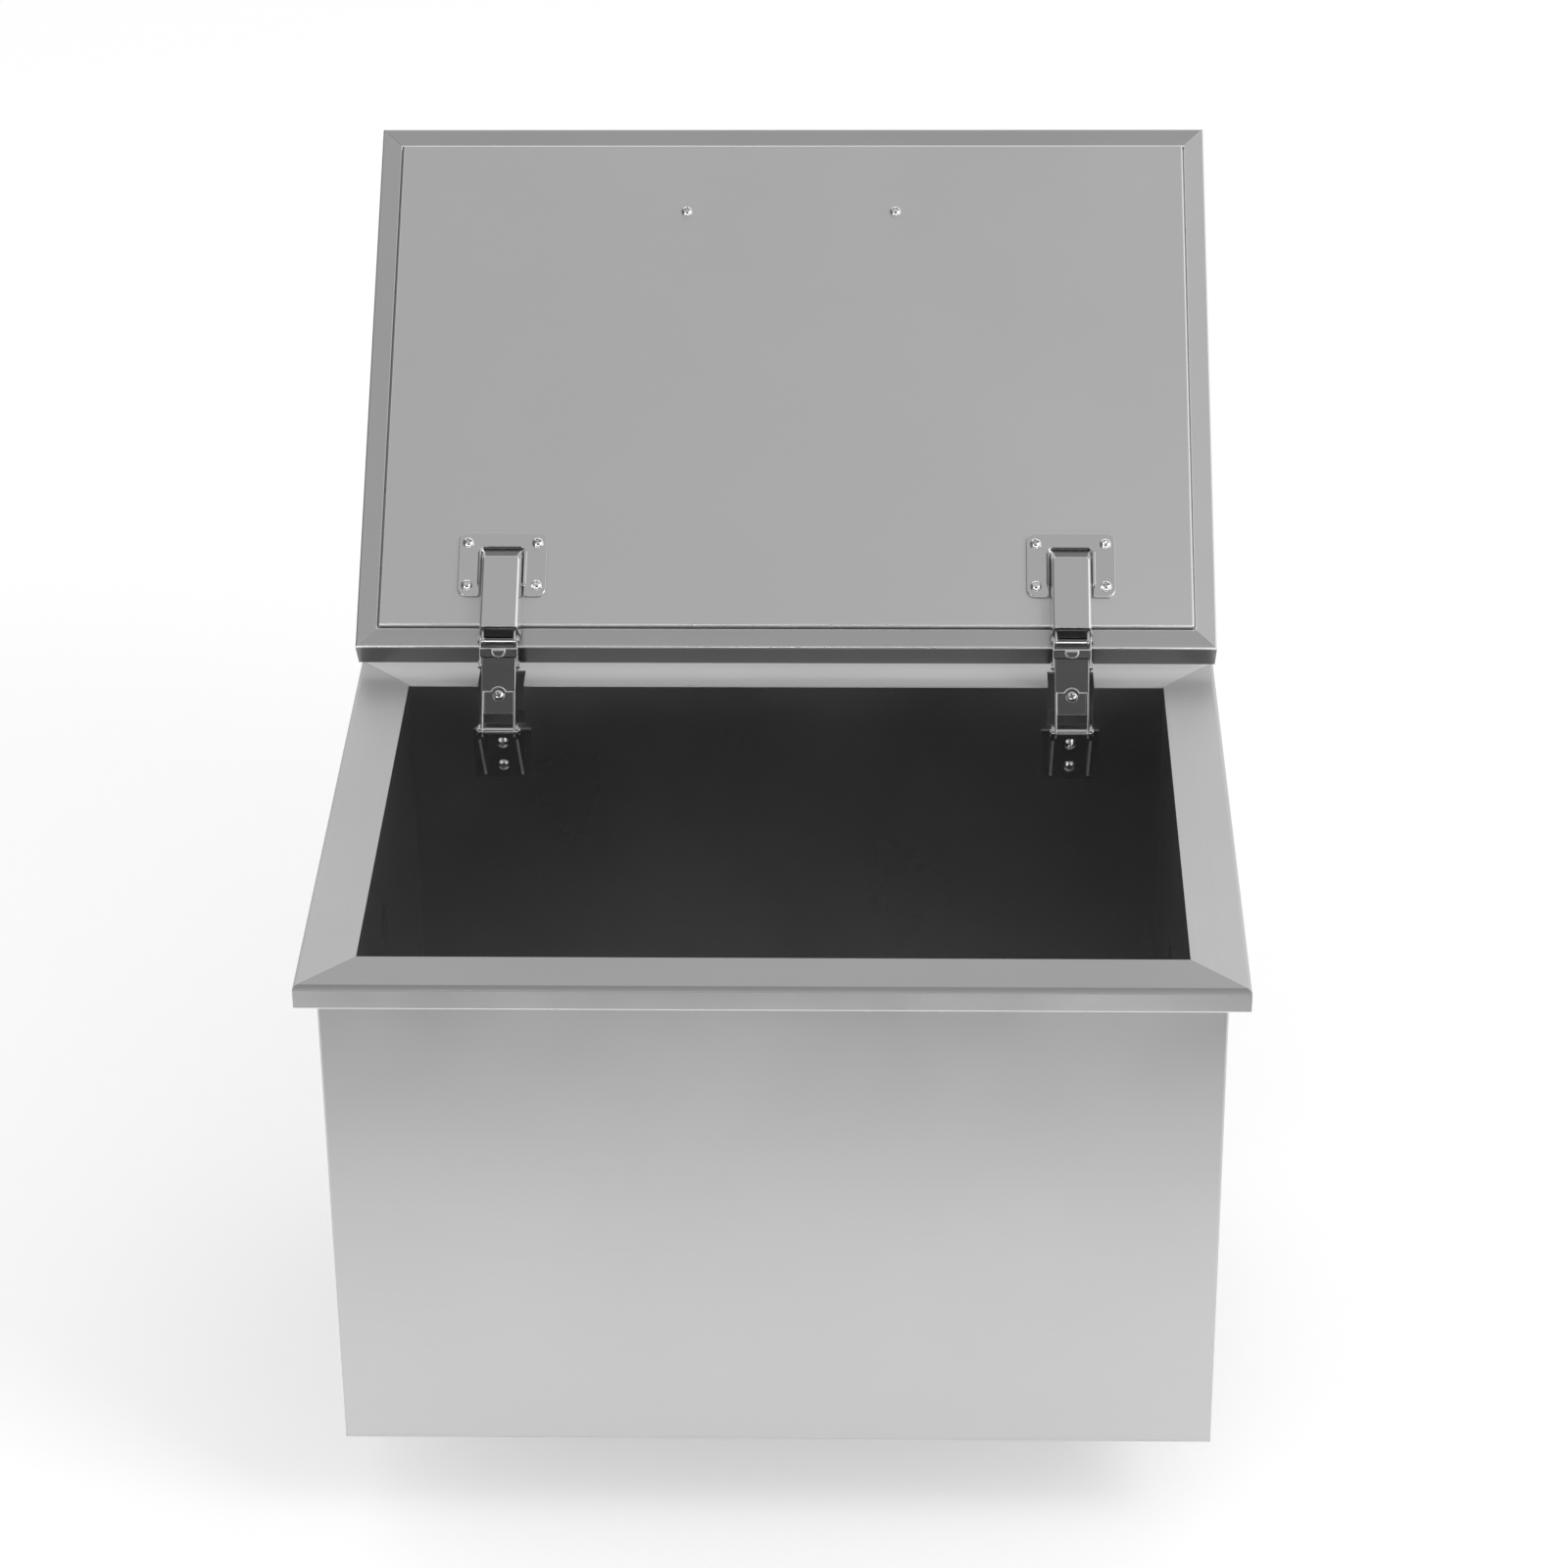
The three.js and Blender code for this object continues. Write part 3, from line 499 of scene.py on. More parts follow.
def carved(piece, cutters):
    """Cuts other shapes out of a piece."""
    tools = [standing(f"{piece.name}_cutter", cutter, []) for cutter in cutters]
    for tool in tools:
        hole = piece.modifiers.new("hole", "BOOLEAN")
        hole.operation = "DIFFERENCE"
        hole.solver = "EXACT"
        hole.object = tool
    baked(piece)
    for tool in tools:
        bpy.data.objects.remove(tool)


def gathered(name, pieces, materials):
    """Several loose pieces as one."""
    shape = bmesh.new()
    for piece in pieces:
        shape.from_mesh(piece.data)
        bpy.data.objects.remove(piece)
    return standing(name, shape, materials)


rim_low, rim_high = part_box("rim_flange")
rim_top = rim_high[2] / mm
rim_rectangle = (rim_low[0] / mm, rim_high[0] / mm, rim_low[1] / mm, rim_high[1] / mm)
rim_profile = fold(hem_round, hem_round - rim_skirt, hem_round, 3)
rim_profile += fold(rim_fold, -rim_fold, rim_fold, 2)
rim_profile += [(rim_strip, 0.0), (rim_strip, -rim_sheet), (rim_fold, -rim_sheet)]
rim_profile += [(rim_sheet, -rim_fold), (rim_sheet, rim_sheet - rim_skirt)]
rim_profile += [(seat_width, rim_sheet - rim_skirt), (seat_width, -rim_skirt)]
rim_profile = [(inset, height + rim_top) for inset, height in rim_profile]
rim_steels = [
    front_grain_shade, right_grain_light, rear_grain_light, left_grain_light, skirt_grain, edge_highlight_steel, fold_grain_shade,
]
# The hem takes a painted highlight, and the front fold a painted shade.
skirt_finish, hem_highlight, fold_shade_finish = 4, 5, 6
hem = range(fold_steps)
top_fold = range(fold_steps + 1, 2 * fold_steps + 1)
runs = []
for side in range(4):
    run = mitred_run(rim_profile, rim_rectangle, side, side, hem, hem_highlight)
    # The front strip's top fold takes the darkest grey: a painted shade.
    if side == 0:
        run.faces.ensure_lookup_table()
        for index in top_fold:
            run.faces[index].material_index = fold_shade_finish
    runs.append(standing(f"rim_run_{side}", run, rim_steels))
notches = []
for side in ("left", "right"):
    tray_low, tray_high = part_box(f"hinge_pocket_{side}")
    notches.append(block(
        (tray_low[0] / mm + tray_wall, rim_rectangle[3] - rim_strip - notch_lead, -notch_half),
        (tray_high[0] / mm - tray_wall, tray_high[1] / mm - tray_wall, notch_half),
    ))
carved(runs[2], notches)
rim = gathered("rim", runs, rim_steels)
for polygon in rim.data.polygons:
    below_fold = polygon.center.z < rim_high[2] + skirt_top * mm
    if below_fold and abs(polygon.normal.y) > upright_share:
        polygon.material_index = skirt_finish
fitted(eased(rim, seam, 2, chosen=True), "bin", "satin_steel", "rim_flange")

# Drain
# A pressed strainer flange and threaded stub, clamped under the bottom by a rubber gasket and
# a nut, with a plastic tailpipe pushed over its end and a rubber plug in its mouth.
polished_steel = steel("polished_steel", 222, 0.09, streak=0.015, wear=0.03)
pebble_scale = 600.0
pebble_strength = 0.15
pebble_depth = 0.05 * mm
turned_ease = 0.6
flange_steps = 3
rubber_ease = 0.5


def moulded(name, colour, roughness, speckle):
    """A moulded plastic or rubber with a faint pebbled surface."""
    material = bpy.data.materials.new(name)
    material.use_nodes = True
    tree = material.node_tree
    surface = tree.nodes["Principled BSDF"]
    surface.inputs["Roughness"].default_value = roughness
    place = tree.nodes.new("ShaderNodeTexCoord")
    pebbles = tree.nodes.new("ShaderNodeTexNoise")
    pebbles.inputs["Scale"].default_value = pebble_scale
    relief = tree.nodes.new("ShaderNodeBump")
    relief.inputs["Strength"].default_value = pebble_strength
    relief.inputs["Distance"].default_value = pebble_depth
    tint = tree.nodes.new("ShaderNodeMix")
    tint.data_type = "RGBA"
    tint.inputs["A"].default_value = (*[part * (1 - speckle) for part in colour], 1.0)
    tint.inputs["B"].default_value = (*[part * (1 + speckle) for part in colour], 1.0)
    tree.links.new(place.outputs["Object"], pebbles.inputs["Vector"])
    tree.links.new(pebbles.outputs["Fac"], relief.inputs["Height"])
    tree.links.new(relief.outputs["Normal"], surface.inputs["Normal"])
    tree.links.new(pebbles.outputs["Fac"], tint.inputs["Factor"])
    tree.links.new(tint.outputs["Result"], surface.inputs["Base Color"])
    return material


rubber = moulded("rubber", (0.02, 0.02, 0.022), 0.7, 0.2)
pipe_plastic = moulded("pipe_plastic", (0.78, 0.78, 0.75), 0.45, 0.03)
folded(
    "drain_body", "drain_flange", "bin", "polished_steel", polished_steel, turned_ease, flange_steps,
)
folded("drain_gasket", "gasket", "bin", "rubber", rubber, rubber_ease)
folded("drain_lock_nut", "lock_nut", "bin", "polished_steel", polished_steel, turned_ease)
folded("drain_tailpipe", "tailpipe", "bin", "pipe_plastic", pipe_plastic, turned_ease)
folded("drain_plug", "plug", "drain_plug", "rubber", rubber, rubber_ease)

# Hinges on the tank side
# Each hinge has a bracket screwed to the tank wall, a pressed channel with an inner arm that
# swings up from it, and a yoke. Polished pins with riveted heads join them.
link_steel = steel("link_steel", 205, 0.12, streak=0.02)
# The yoke's steel is the link's steel in a darker grey: a painted shade.
yoke_steel = steel("yoke_steel", 166, 0.12, streak=0.02)
eased_edge = 0.7
foot_ease = 0.25
inner_ease = 0.3
lug_ease = 0.5
arm_ease = 0.4
pin_ease = 0.3
long_edge = 8
lug_height = 4.7
web_height = 3.9
web_end = 42.0
wall_inside = 8.9
bridge_low = 5.3
bridge_face = 4.1
bridge_span = 5


def middle(cad_name):
    """The middle of a CAD node's box."""
    low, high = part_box(cad_name)
    return (Vector(low) + Vector(high)) / 2


def between_pins(near, far):
    """The frame of a hinge part: its origin at one pin, +Y towards the other."""
    start, end = middle(near), middle(far)
    turn = math.atan2(end.z - start.z, end.y - start.y)
    return Matrix.Translation(start) @ Matrix.Rotation(turn, 4, "X")


def edged(cad_name, name, place, finishes, width_at):
    """A CAD solid whose edges are eased, each by a width in millimetres that width_at gives
    from its two ends in the part's own frame."""
    shape = solid_copy(cad_name)
    shape.transform(place.inverted())
    weights = edge_weights(shape)
    for edge in shape.edges:
        if edge.is_manifold and edge.calc_face_angle() > sharp_angle:
            ends = [vert.co / mm for vert in edge.verts]
            edge[weights] = width_at(*ends) / eased_edge
    piece = standing(name, shape, finishes, place)
    return eased(piece, eased_edge, 3, chosen=True, finish=len(finishes) - 1)


def channel_edge(a, b):
    """How far a link channel's edge is rounded: least at the foot, not at all at its end."""
    if min(a.z, b.z) < web_height:
        return foot_ease
    if min(a.y, b.y) > web_end:
        return 0.0
    inside = min(abs(a.x), abs(b.x)) < wall_inside and abs(a.y - b.y) > long_edge
    return inner_ease if inside else eased_edge


def yoke_edge(a, b):
    """How far a yoke's edge is rounded: its lug, its bridge and its plates differ."""
    if min(a.z, b.z) > lug_height:
        return lug_ease
    if min(a.z, b.z) > bridge_face and abs(a.x - b.x) > bridge_span:
        return 0.0 if max(a.y, b.y) < bridge_low else eased_edge
    return inner_ease


for side in ("left", "right"):
    folded(f"tank_bracket_{side}", f"bracket_{side}", "bin", "polished_steel", polished_steel)
    folded(f"tank_pin_{side}", f"low_pin_{side}", "bin", "polished_steel", polished_steel, pin_ease)
    link = f"link_{side}"
    link_place = between_pins(f"tank_pin_{side}", f"link_pin_{side}")
    channel = f"link_channel_{side}"
    # The edge rounds of the channel and the yoke take the last finish, a near-white steel: a painted
    # highlight.
    piece = edged(channel, f"channel_{side}", link_place, [link_steel, edge_highlight_steel], channel_edge)
    fitted(piece, link, "link_steel", channel)
    folded(f"link_inner_arm_{side}", f"inner_arm_{side}", link, "link_steel", link_steel, arm_ease)
    yoke = f"yoke_{side}"
    yoke_place = between_pins(f"link_pin_{side}", f"lid_pin_{side}")
    piece = edged(yoke, f"yoke_plates_{side}", yoke_place, [yoke_steel, edge_highlight_steel], yoke_edge)
    fitted(piece, yoke, "polished_steel", yoke)
    folded(f"link_pin_{side}", f"middle_pin_{side}", yoke, "polished_steel", polished_steel, pin_ease)
    folded(f"lid_pin_{side}", f"top_pin_{side}", yoke, "polished_steel", polished_steel, pin_ease)

# Lid pan
# The outer skin: a plate with upright walls, whose edges fold back over the foam as four mitred
# strips with thin welded seams. A foot under each strip's lip closes the gap to the panel.
lid_tilt = math.radians(36.7)
lid_thickness = 22.0
lid_strip = 12.6
lid_fold = 1.2
lip_drop = 2.8
lip_foot = 1.8
lip_sheet = 0.3
lip_round = 0.9
lid_sheet = 1.0
skin_round = 0.9
skin_edge = 0.1
lid_gloss = 0.34
lid_low, lid_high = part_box("lid_outer_pan")
lid_origin = (0.0, lid_low[1], lid_low[2] + lid_thickness * mm * math.cos(lid_tilt))
lid_place = Matrix.Translation(lid_origin) @ Matrix.Rotation(lid_tilt, 4, "X")
lid_half = lid_high[0] / mm
lid_rise = lid_high[2] / mm - lid_origin[2] / mm
lid_length = round(lid_rise / math.sin(lid_tilt), 3)
# Painted light and shade: the lid's strips are one steel, lighter at the left and much lighter at the
# right than at the front and rear, and the wall at the hinge edge a dark grey.
lid_cross_steel = steel("lid_cross_steel", 200, lid_gloss, "X")
lid_left_steel = steel("lid_left_steel", 206, lid_gloss, "Y")
lid_right_steel = steel("lid_right_steel", 233, lid_gloss, "Y")
lid_wall_steel = steel("lid_wall_steel", 132, 0.3, "X")
lid_steels = [lid_cross_steel, lid_left_steel, lid_right_steel, lid_wall_steel, edge_highlight_steel]
lid_profile = [(0.0, lid_sheet - lid_thickness), *fold(lid_fold, -lid_fold, lid_fold, 2)]
lid_profile += fold(lid_strip - lip_round, -lip_round, lip_round, 1)
lid_profile += [(lid_strip, -lip_drop), (lid_strip + lip_foot, -lip_drop)]
lid_profile += [(lid_strip + lip_foot, -lip_drop - lip_sheet)]
lid_profile += [(lid_strip - lid_sheet, -lip_drop - lip_sheet)]
lid_profile += [(lid_strip - lid_sheet, -lid_sheet), (lid_sheet, -lid_sheet)]
lid_profile += [(lid_sheet, lid_sheet - lid_thickness)]
lid_grains_and_light = (0, 2, 0, 1)
wall_shade_finish, lip_highlight = 3, 4
outer_fold = set(range(1, fold_steps + 1))
lip_fold = set(range(fold_steps + 2, 2 * fold_steps + 2))
lid_rectangle = (-lid_half, lid_half, 0.0, lid_length)
runs = []
for side, grain in enumerate(lid_grains_and_light):
    # The lip rounds, and at the hinge edge the outer fold too, take a painted highlight.
    highlit = lip_fold | outer_fold if side == 0 else lip_fold
    run = mitred_run(lid_profile, lid_rectangle, side, grain, highlit, lip_highlight)
    if side == 0:
        # The wall at the hinge edge takes a dark grey: a painted shade.
        run.faces.ensure_lookup_table()
        run.faces[0].material_index = wall_shade_finish
    runs.append(standing(f"lid_run_{side}", run, lid_steels, lid_place))
skin = block((-lid_half, 0.0, -lid_thickness), (lid_half, lid_length, lid_sheet - lid_thickness))
weights = edge_weights(skin)
for edge in skin.edges:
    if all(vert.co.z < (skin_edge - lid_thickness) * mm for vert in edge.verts):
        edge[weights] = skin_round / seam
runs.append(standing("lid_skin", skin, lid_steels, lid_place))
lid_pan = gathered("lid_pan", runs, lid_steels)
fitted(eased(lid_pan, seam, 3, chosen=True), "lid", "satin_steel", "lid_outer_pan")

# Lid panel
# A shallow satin tray with softly rounded edges. It sits in the mouth of the pan with a thin
# dark gap all round.
panel_rise = 2.7
panel_tuck = 2.7
panel_gap = 0.7
panel_round = 1.1
liner_steel = steel("liner_steel", 221, 0.42, streak=0.01, wear=0.02)
inset = lid_strip + panel_gap
panel_shape = block(
    (inset - lid_half, inset, -panel_tuck), (lid_half - inset, lid_length - inset, panel_rise),
)
weights = edge_weights(panel_shape)
for edge in panel_shape.edges:
    if any(vert.co.z > 0 for vert in edge.verts):
        edge[weights] = 1.0
panel = standing("lid_panel", panel_shape, [liner_steel, edge_highlight_steel], lid_place)
# The panel's edge rounds take the near-white steel: a painted highlight.
eased(panel, panel_round, 4, chosen=True, finish=1)
fitted(panel, "lid", "liner_steel", "lid_inner_panel")

# Handle
# A bent polished bar on the outside of the lid, screwed on from inside through both skins.
handle_pitch = 128.0
handle_setback = 60.6
handle_row = lid_length - handle_setback
handle_bar = 10.0
handle_reach = 32.0
handle_gap = 0.3
handle_bend = 12.0
handle_face = -lid_thickness - handle_gap
handle_far = handle_face - handle_reach + handle_bar / 2
bar_sides = 24
bend_steps = 10
foot = handle_pitch / 2
route = [(-foot, handle_face)]
for step in range(bend_steps + 1):
    share = step / bend_steps
    start, corner, end = (0.0, handle_bend), (0.0, 0.0), (handle_bend, 0.0)
    across, away = (
        (1 - share) ** 2 * a + 2 * share * (1 - share) * b + share ** 2 * c
        for a, b, c in zip(start, corner, end)
    )
    route.append((across - foot, handle_far + away))
route += [(-x, z) for x, z in reversed(route)]
bar = bmesh.new()
rings = []
for index, (x, z) in enumerate(route):
    before, after = route[max(index - 1, 0)], route[min(index + 1, len(route) - 1)]
    along = Vector((after[0] - before[0], 0.0, after[1] - before[1])).normalized()
    outward = Vector((along.z, 0.0, -along.x))
    ring = []
    for side in range(bar_sides):
        angle = 2 * math.pi * side / bar_sides
        reach = outward * math.cos(angle) + Vector((0, 1, 0)) * math.sin(angle)
        ring.append(bar.verts.new((Vector((x, handle_row, z)) + reach * handle_bar / 2) * mm))
    rings.append(ring)
for near, far in zip(rings, rings[1:]):
    for side in range(bar_sides):
        other = (side + 1) % bar_sides
        bar.faces.new((near[side], near[other], far[other], far[side]))
bar.faces.new(rings[0])
bar.faces.new(rings[-1])
bmesh.ops.recalc_face_normals(bar, faces=bar.faces)
handle = standing("handle", bar, [polished_steel], lid_place)
fitted(levelled(handle), "lid", "polished_steel", "lid_handle")

# Hinge arms and plates on the lid
# A pressed, tapered hood with rounded shoulders and two ears for the upper pin. A flat plate,
# rolled up at the slot that fits round it, holds it down and is screwed through the lid's panel.
hood_round = 1.8
end_round = 2.8
end_inside = 1.7
ear_ease = 0.25
hood_height = 14.4
hood_end = 48.0
hood_angle = math.radians(20)
end_lean = 0.5
shoulder_lean = 0.25
plate_half = 26.25
plate_start = 31.8
plate_end = 73.5
plate_face = 3.0
plate_sheet = 1.5
plate_round = 0.6
plate_corner = 5.0
corner_steps = 6
slot_half = 13.1
slot_end = 63.8
slot_mouth = 1.2
slot_corner = 2.9
roll_start = 37.6
roll_end = 62.6
roll_ramp = 2.5
roll_low = 0.6
roll_high = 2.2
roll_radius = 0.55
roll_centre = 13.3
roll_outside = 13.9
roll_foot = 1.45
roll_gap = 0.05
roll_sink = 1.0
roll_floor = 1.1
roll_steps = 6
arm_steel = steel("arm_steel", 222, 0.1, "Y", streak=0.015, wear=0.03)
# The hood's far end takes the arm's steel in a dark grey: a painted shade.
arm_end_steel = steel("arm_end_steel", 150, 0.16, "X", streak=0.015, wear=0.03)
end_shade_finish, shoulder_highlight = 1, 2


def rounded_outline(corners):
    """A flat outline from corners of (x, y, radius), each turned into an arc."""
    points = []
    for index, (x, y, radius) in enumerate(corners):
        here = Vector((x, y))
        back = (Vector(corners[index - 1][:2]) - here).normalized()
        ahead = (Vector(corners[(index + 1) % len(corners)][:2]) - here).normalized()
        opening = back.angle(ahead)
        centre = here + (back + ahead).normalized() * radius / math.sin(opening / 2)
        spoke = here + back * radius / math.tan(opening / 2) - centre
        sweep = math.copysign(math.pi - opening, ahead.x * back.y - ahead.y * back.x)
        for step in range(corner_steps + 1):
            points.append(centre + Matrix.Rotation(sweep * step / corner_steps, 2) @ spoke)
    return points


def roll_section(height):
    """The inner edge of the plate, rolled up beside the hood: points across and up."""
    crest = plate_face + plate_sheet + height - roll_radius
    points = [(slot_half + roll_gap, plate_face + roll_sink)]
    rolled = fold(roll_centre, crest, roll_radius, 2, roll_steps)
    points += [(x, max(z, plate_face + roll_floor)) for x, z in rolled]
    spread = min(roll_foot, height / 2)
    for step in range(roll_steps):
        angle = math.pi + step / (roll_steps - 1) * math.pi / 2
        across = roll_outside + spread * (1 + math.cos(angle))
        points.append((across, plate_face + plate_sheet + spread * (1 + math.sin(angle))))
    return points + [(roll_outside + spread, plate_face + roll_sink)]


def hood_edge_width(a, b):
    """How far an arm's edge is rounded: most along the hood and at its far end."""
    if min(a.z, b.z) > hood_height:
        return hood_round if abs(a.y - b.y) > long_edge else hood_round / 3
    if min(a.y, b.y) > hood_end and abs(a.z - b.z) > long_edge:
        return end_round if max(a.z, b.z) > hood_height else end_inside
    return ear_ease


for side in ("left", "right"):
    arm = solid_copy(f"hinge_arm_{side}")
    arm.transform(lid_place.inverted())
    weights = edge_weights(arm)
    for edge in arm.edges:
        if edge.is_manifold and edge.calc_face_angle() > hood_angle:
            ends = [vert.co / mm for vert in edge.verts]
            edge[weights] = hood_edge_width(*ends) / end_round
    arm.normal_update()
    # Faces at the hood's far end, below its top, take the painted shade.
    for face in arm.faces:
        if face.normal.y > end_lean and face.calc_center_median().z < hood_height * mm:
            face.material_index = end_shade_finish
    arm_steels = [arm_steel, arm_end_steel, edge_highlight_steel]
    piece = standing(f"box_arm_{side}", arm, arm_steels, lid_place)
    eased(piece, end_round, 4, chosen=True)
    # The rounded shoulders take the near-white steel: a painted highlight.
    for polygon in piece.data.polygons:
        facing = lid_place.to_3x3().inverted() @ polygon.normal
        if abs(facing.x) > shoulder_lean and facing.z > shoulder_lean:
            polygon.material_index = shoulder_highlight
    fitted(piece, "lid", "polished_steel", f"hinge_arm_{side}")

    hinge_x = (lid_place.inverted() @ middle(f"hinge_plate_{side}")).x / mm
    outline = rounded_outline([
        (-plate_half, plate_start, plate_corner), (-slot_half, plate_start, slot_mouth),
        (-slot_half, slot_end, slot_corner), (slot_half, slot_end, slot_corner),
        (slot_half, plate_start, slot_mouth), (plate_half, plate_start, plate_corner),
        (plate_half, plate_end, plate_corner), (-plate_half, plate_end, plate_corner),
    ])
    plate = bmesh.new()
    weights = edge_weights(plate)
    levels = [
        [plate.verts.new(((x + hinge_x) * mm, y * mm, z * mm)) for x, y in outline]
        for z in (plate_face, plate_face + plate_sheet)
    ]
    plate.faces.new(levels[0])
    for edge in plate.faces.new(levels[1]).edges:
        edge[weights] = 1.0
    for index in range(len(outline)):
        after = (index + 1) % len(outline)
        plate.faces.new(
            (levels[0][index], levels[0][after], levels[1][after], levels[1][index])
        )
    for flip in (-1, 1):
        rings = []
        for y, height in (
            (roll_start, roll_low), (roll_start + roll_ramp, roll_high),
            (roll_end - roll_ramp, roll_high), (roll_end, roll_low),
        ):
            rings.append([
                plate.verts.new(((flip * x + hinge_x) * mm, y * mm, z * mm))
                for x, z in roll_section(height)
            ])
        for near, far in zip(rings, rings[1:]):
            for index in range(len(near)):
                after = (index + 1) % len(near)
                plate.faces.new((near[index], near[after], far[after], far[index]))
        plate.faces.new(rings[0])
        plate.faces.new(rings[-1])
    bmesh.ops.recalc_face_normals(plate, faces=plate.faces)
    piece = standing(f"plate_{side}", plate, [arm_steel], lid_place)
    eased(piece, plate_round, 3, chosen=True)
    fitted(piece, "lid", "polished_steel", f"hinge_plate_{side}")

# Screws
# Bright cross-recess screws with domed heads. One head is turned and cut, and a node tree sets
# copies of it on the lid, the links and the tank brackets, each with its own turn.
screw_steel = steel("screw_steel", 236, 0.14, streak=0.01)
head_radius = 3.5
head_height = 2.2
shank_radius = 1.8
shank_length = 6.0
recess_width = 0.95
recess_span = 3.9
recess_depth = 1.4
dome_steps = 6
screw_sides = 32
screw_weld = 0.002 * mm
most_turn = 1.4
lid_seed, bracket_seed, link_seed = 4, 7, 2
screw_shape = bmesh.new()
outline = [(0.0, -shank_length), (shank_radius, -shank_length), (shank_radius, 0.0)]
outline += [(head_radius, 0.0)]
for step in range(1, dome_steps + 1):
    angle = step / dome_steps * math.pi / 2
    outline.append((head_radius * math.cos(angle), head_height * math.sin(angle)))
chain = [screw_shape.verts.new((x * mm, 0.0, z * mm)) for x, z in outline]
chain_edges = [screw_shape.edges.new(pair) for pair in zip(chain, chain[1:])]
bmesh.ops.spin(
    screw_shape, geom=chain + chain_edges, axis=(0, 0, 1), cent=(0, 0, 0),
    angle=2 * math.pi, steps=screw_sides, use_duplicate=False,
)
bmesh.ops.remove_doubles(screw_shape, verts=screw_shape.verts, dist=screw_weld)
bmesh.ops.recalc_face_normals(screw_shape, faces=screw_shape.faces)
screw = standing("screw", screw_shape, [screw_steel])
wide, narrow = recess_span / 2, recess_width / 2
recess_floor = head_height - recess_depth
carved(screw, [
    block((-wide, -narrow, recess_floor), (wide, narrow, head_height + 1)),
    block((-narrow, -wide, recess_floor), (narrow, wide, head_height + 1)),
])
cut_head = bmesh.new()
cut_head.from_mesh(screw.data)
bmesh.ops.remove_doubles(cut_head, verts=cut_head.verts, dist=screw_weld)
bmesh.ops.dissolve_degenerate(cut_head, edges=cut_head.edges, dist=screw_weld)
cut_head.to_mesh(screw.data)
cut_head.free()
screw.data.polygons.foreach_set("use_smooth", [True] * len(screw.data.polygons))
screw.data.set_sharp_from_angle(angle=smooth_angle)

screw_tree = bpy.data.node_groups.new("set_screws", "GeometryNodeTree")
sockets = {}
for label, kind, way in (
    ("Places", "NodeSocketGeometry", "INPUT"),
    ("Screw", "NodeSocketObject", "INPUT"),
    ("Size", "NodeSocketFloat", "INPUT"),
    ("Most turn", "NodeSocketFloat", "INPUT"),
    ("Seed", "NodeSocketInt", "INPUT"),
    ("Steel", "NodeSocketMaterial", "INPUT"),
    ("Screws", "NodeSocketGeometry", "OUTPUT"),
):
    socket = screw_tree.interface.new_socket(label, in_out=way, socket_type=kind)
    sockets[label] = socket.identifier
inputs = screw_tree.nodes.new("NodeGroupInput")
outputs = screw_tree.nodes.new("NodeGroupOutput")
source = screw_tree.nodes.new("GeometryNodeObjectInfo")
facing = screw_tree.nodes.new("GeometryNodeInputNamedAttribute")
facing.data_type = "FLOAT_VECTOR"
facing.inputs["Name"].default_value = "facing"
upright = screw_tree.nodes.new("FunctionNodeAlignRotationToVector")
upright.axis = "Z"
chance = screw_tree.nodes.new("FunctionNodeRandomValue")
chance.data_type = "FLOAT"
twist = screw_tree.nodes.new("FunctionNodeAxisAngleToRotation")
twist.inputs["Axis"].default_value = (0.0, 0.0, 1.0)
turned = screw_tree.nodes.new("FunctionNodeRotateRotation")
turned.rotation_space = "LOCAL"
copies = screw_tree.nodes.new("GeometryNodeInstanceOnPoints")
real = screw_tree.nodes.new("GeometryNodeRealizeInstances")
painted = screw_tree.nodes.new("GeometryNodeSetMaterial")
wire = screw_tree.links.new
wire(inputs.outputs["Screw"], source.inputs["Object"])
wire(facing.outputs[0], upright.inputs["Vector"])
wire(inputs.outputs["Most turn"], chance.inputs[3])
wire(inputs.outputs["Seed"], chance.inputs["Seed"])
wire(chance.outputs[1], twist.inputs["Angle"])
wire(upright.outputs["Rotation"], turned.inputs["Rotation"])
wire(twist.outputs["Rotation"], turned.inputs["Rotate By"])
wire(inputs.outputs["Places"], copies.inputs["Points"])
wire(source.outputs["Geometry"], copies.inputs["Instance"])
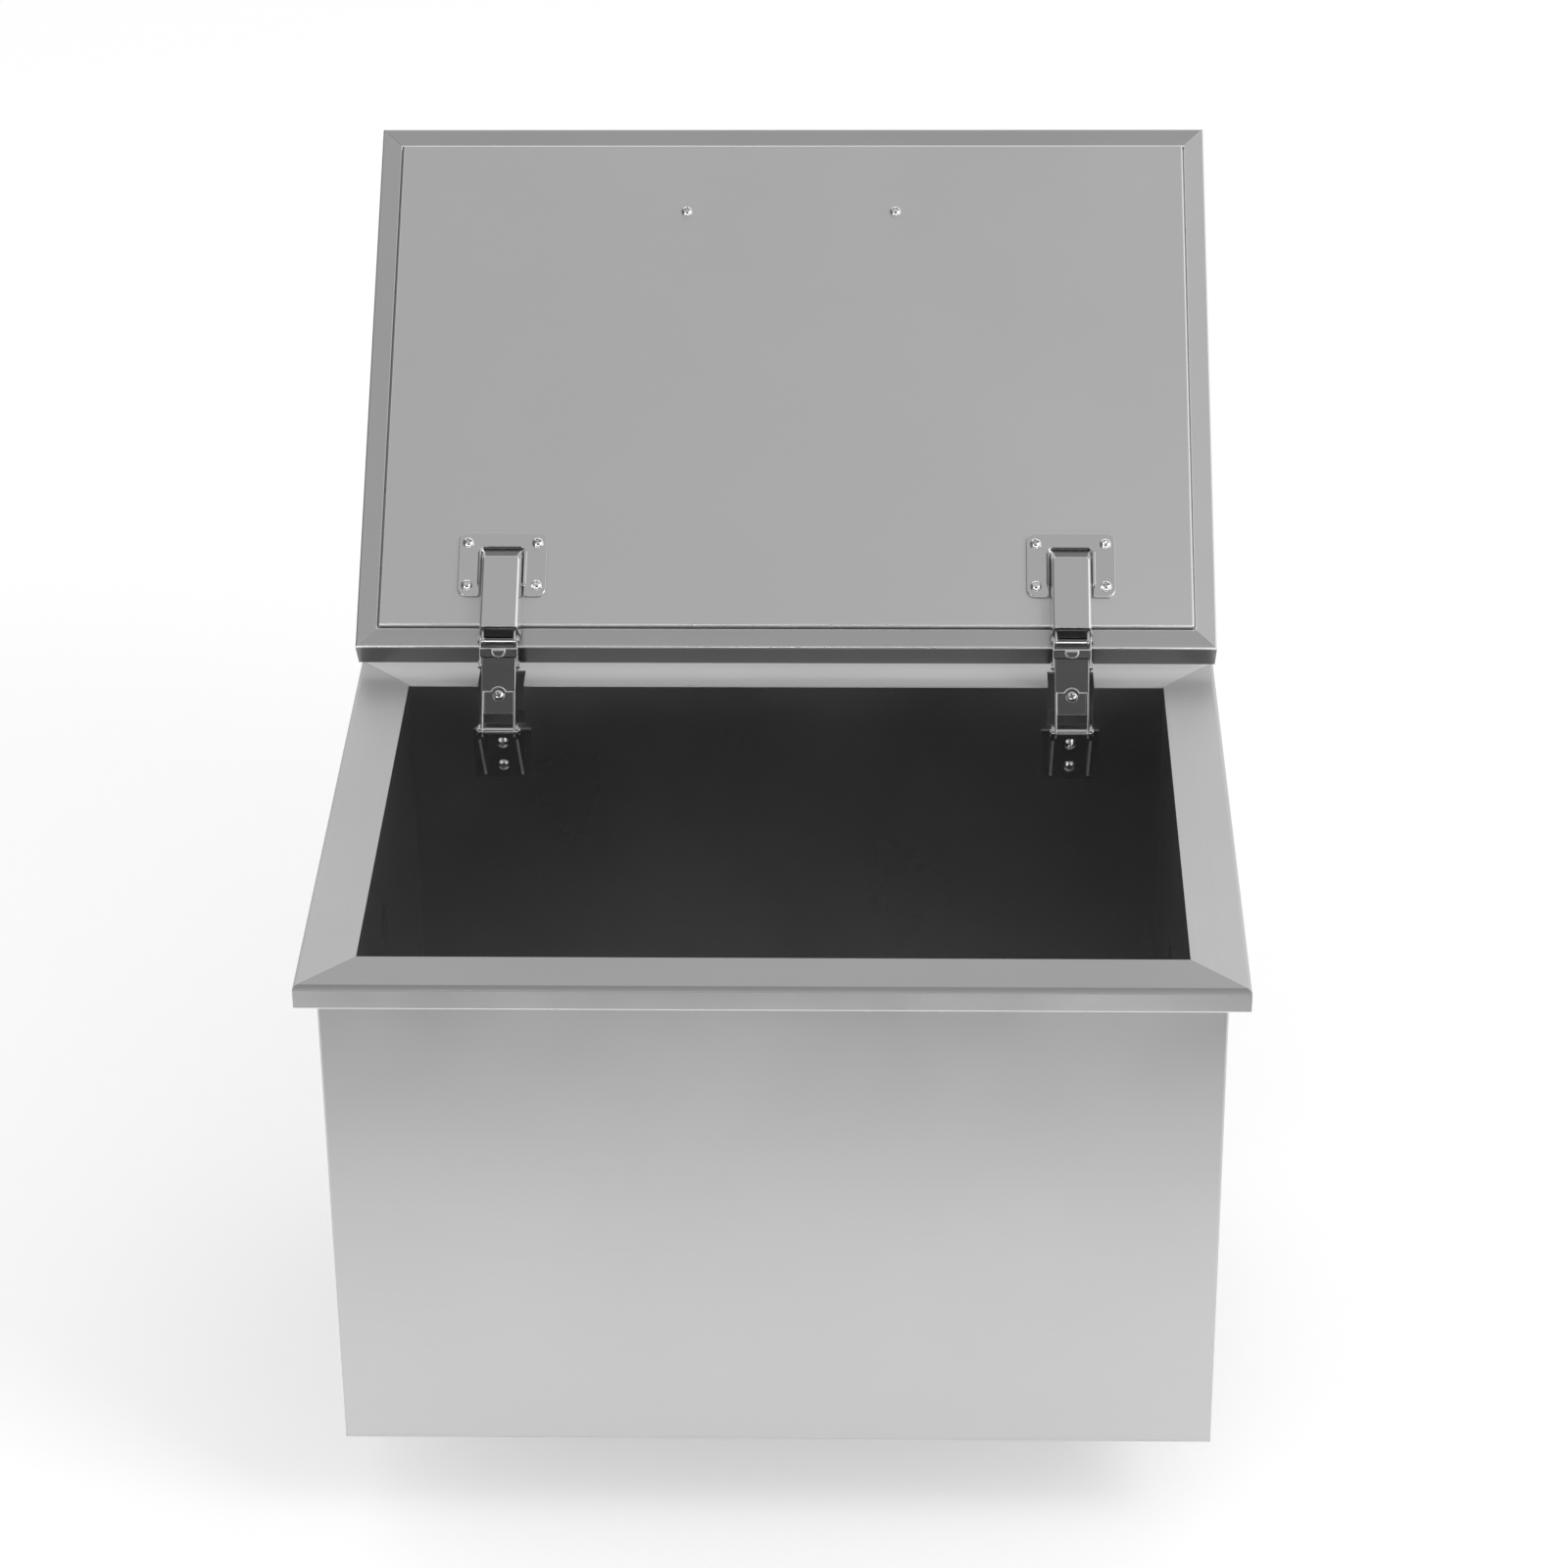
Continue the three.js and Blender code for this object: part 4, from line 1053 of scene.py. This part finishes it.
wire(turned.outputs["Rotation"], copies.inputs["Rotation"])
wire(inputs.outputs["Size"], copies.inputs["Scale"])
wire(copies.outputs["Instances"], real.inputs["Geometry"])
wire(real.outputs["Geometry"], painted.inputs["Geometry"])
wire(inputs.outputs["Steel"], painted.inputs["Material"])
wire(painted.outputs["Geometry"], outputs.inputs["Screws"])


def screw_set(name, body, cad_names, direction, seed):
    """Sets a screw at each CAD screw of a body, with its head facing the given way."""
    direction = Vector(direction).normalized()
    places = bmesh.new()
    for cad_name in cad_names:
        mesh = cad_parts[cad_name].data
        points = {tuple(round(part, 7) for part in vert.co) for vert in mesh.vertices}
        centre = sum((Vector(point) for point in points), Vector()) / len(points)
        top = max(Vector(point).dot(direction) for point in points)
        seat = top - head_height * mm
        places.verts.new(centre + direction * (seat - centre.dot(direction)))
    piece = standing(name, places, [])
    towards = piece.data.attributes.new("facing", "FLOAT_VECTOR", "POINT")
    for item in towards.data:
        item.vector = direction
    setter = piece.modifiers.new("set_screws", "NODES")
    setter.node_group = screw_tree
    setter[sockets["Screw"]] = screw
    setter[sockets["Size"]] = 1.0
    setter[sockets["Most turn"]] = most_turn
    setter[sockets["Seed"]] = seed
    setter[sockets["Steel"]] = screw_steel
    fitted(baked(piece), body, "screw_steel", *cad_names)


lid_screws = [f"plate_screw_{side}_{count}" for side in ("left", "right") for count in range(1, 5)]
lid_screws += ["handle_screw_1", "handle_screw_2"]
lid_facing = lid_place.to_3x3() @ Vector((0, 0, 1))
screw_set("lid_screws", "lid", lid_screws, lid_facing, lid_seed)
bracket_screws = [
    f"bracket_screw_{row}_{side}" for row in ("upper", "lower") for side in ("left", "right")
]
screw_set("bracket_screws", "bin", bracket_screws, (0, -1, 0), bracket_seed)
link_angle = math.radians(57.0)
link_facing = (0, -math.sin(link_angle), math.cos(link_angle))
for side in ("left", "right"):
    link_screw = [f"link_screw_{side}"]
    screw_set(f"link_rivet_{side}", f"link_{side}", link_screw, link_facing, link_seed)
bpy.data.objects.remove(screw)
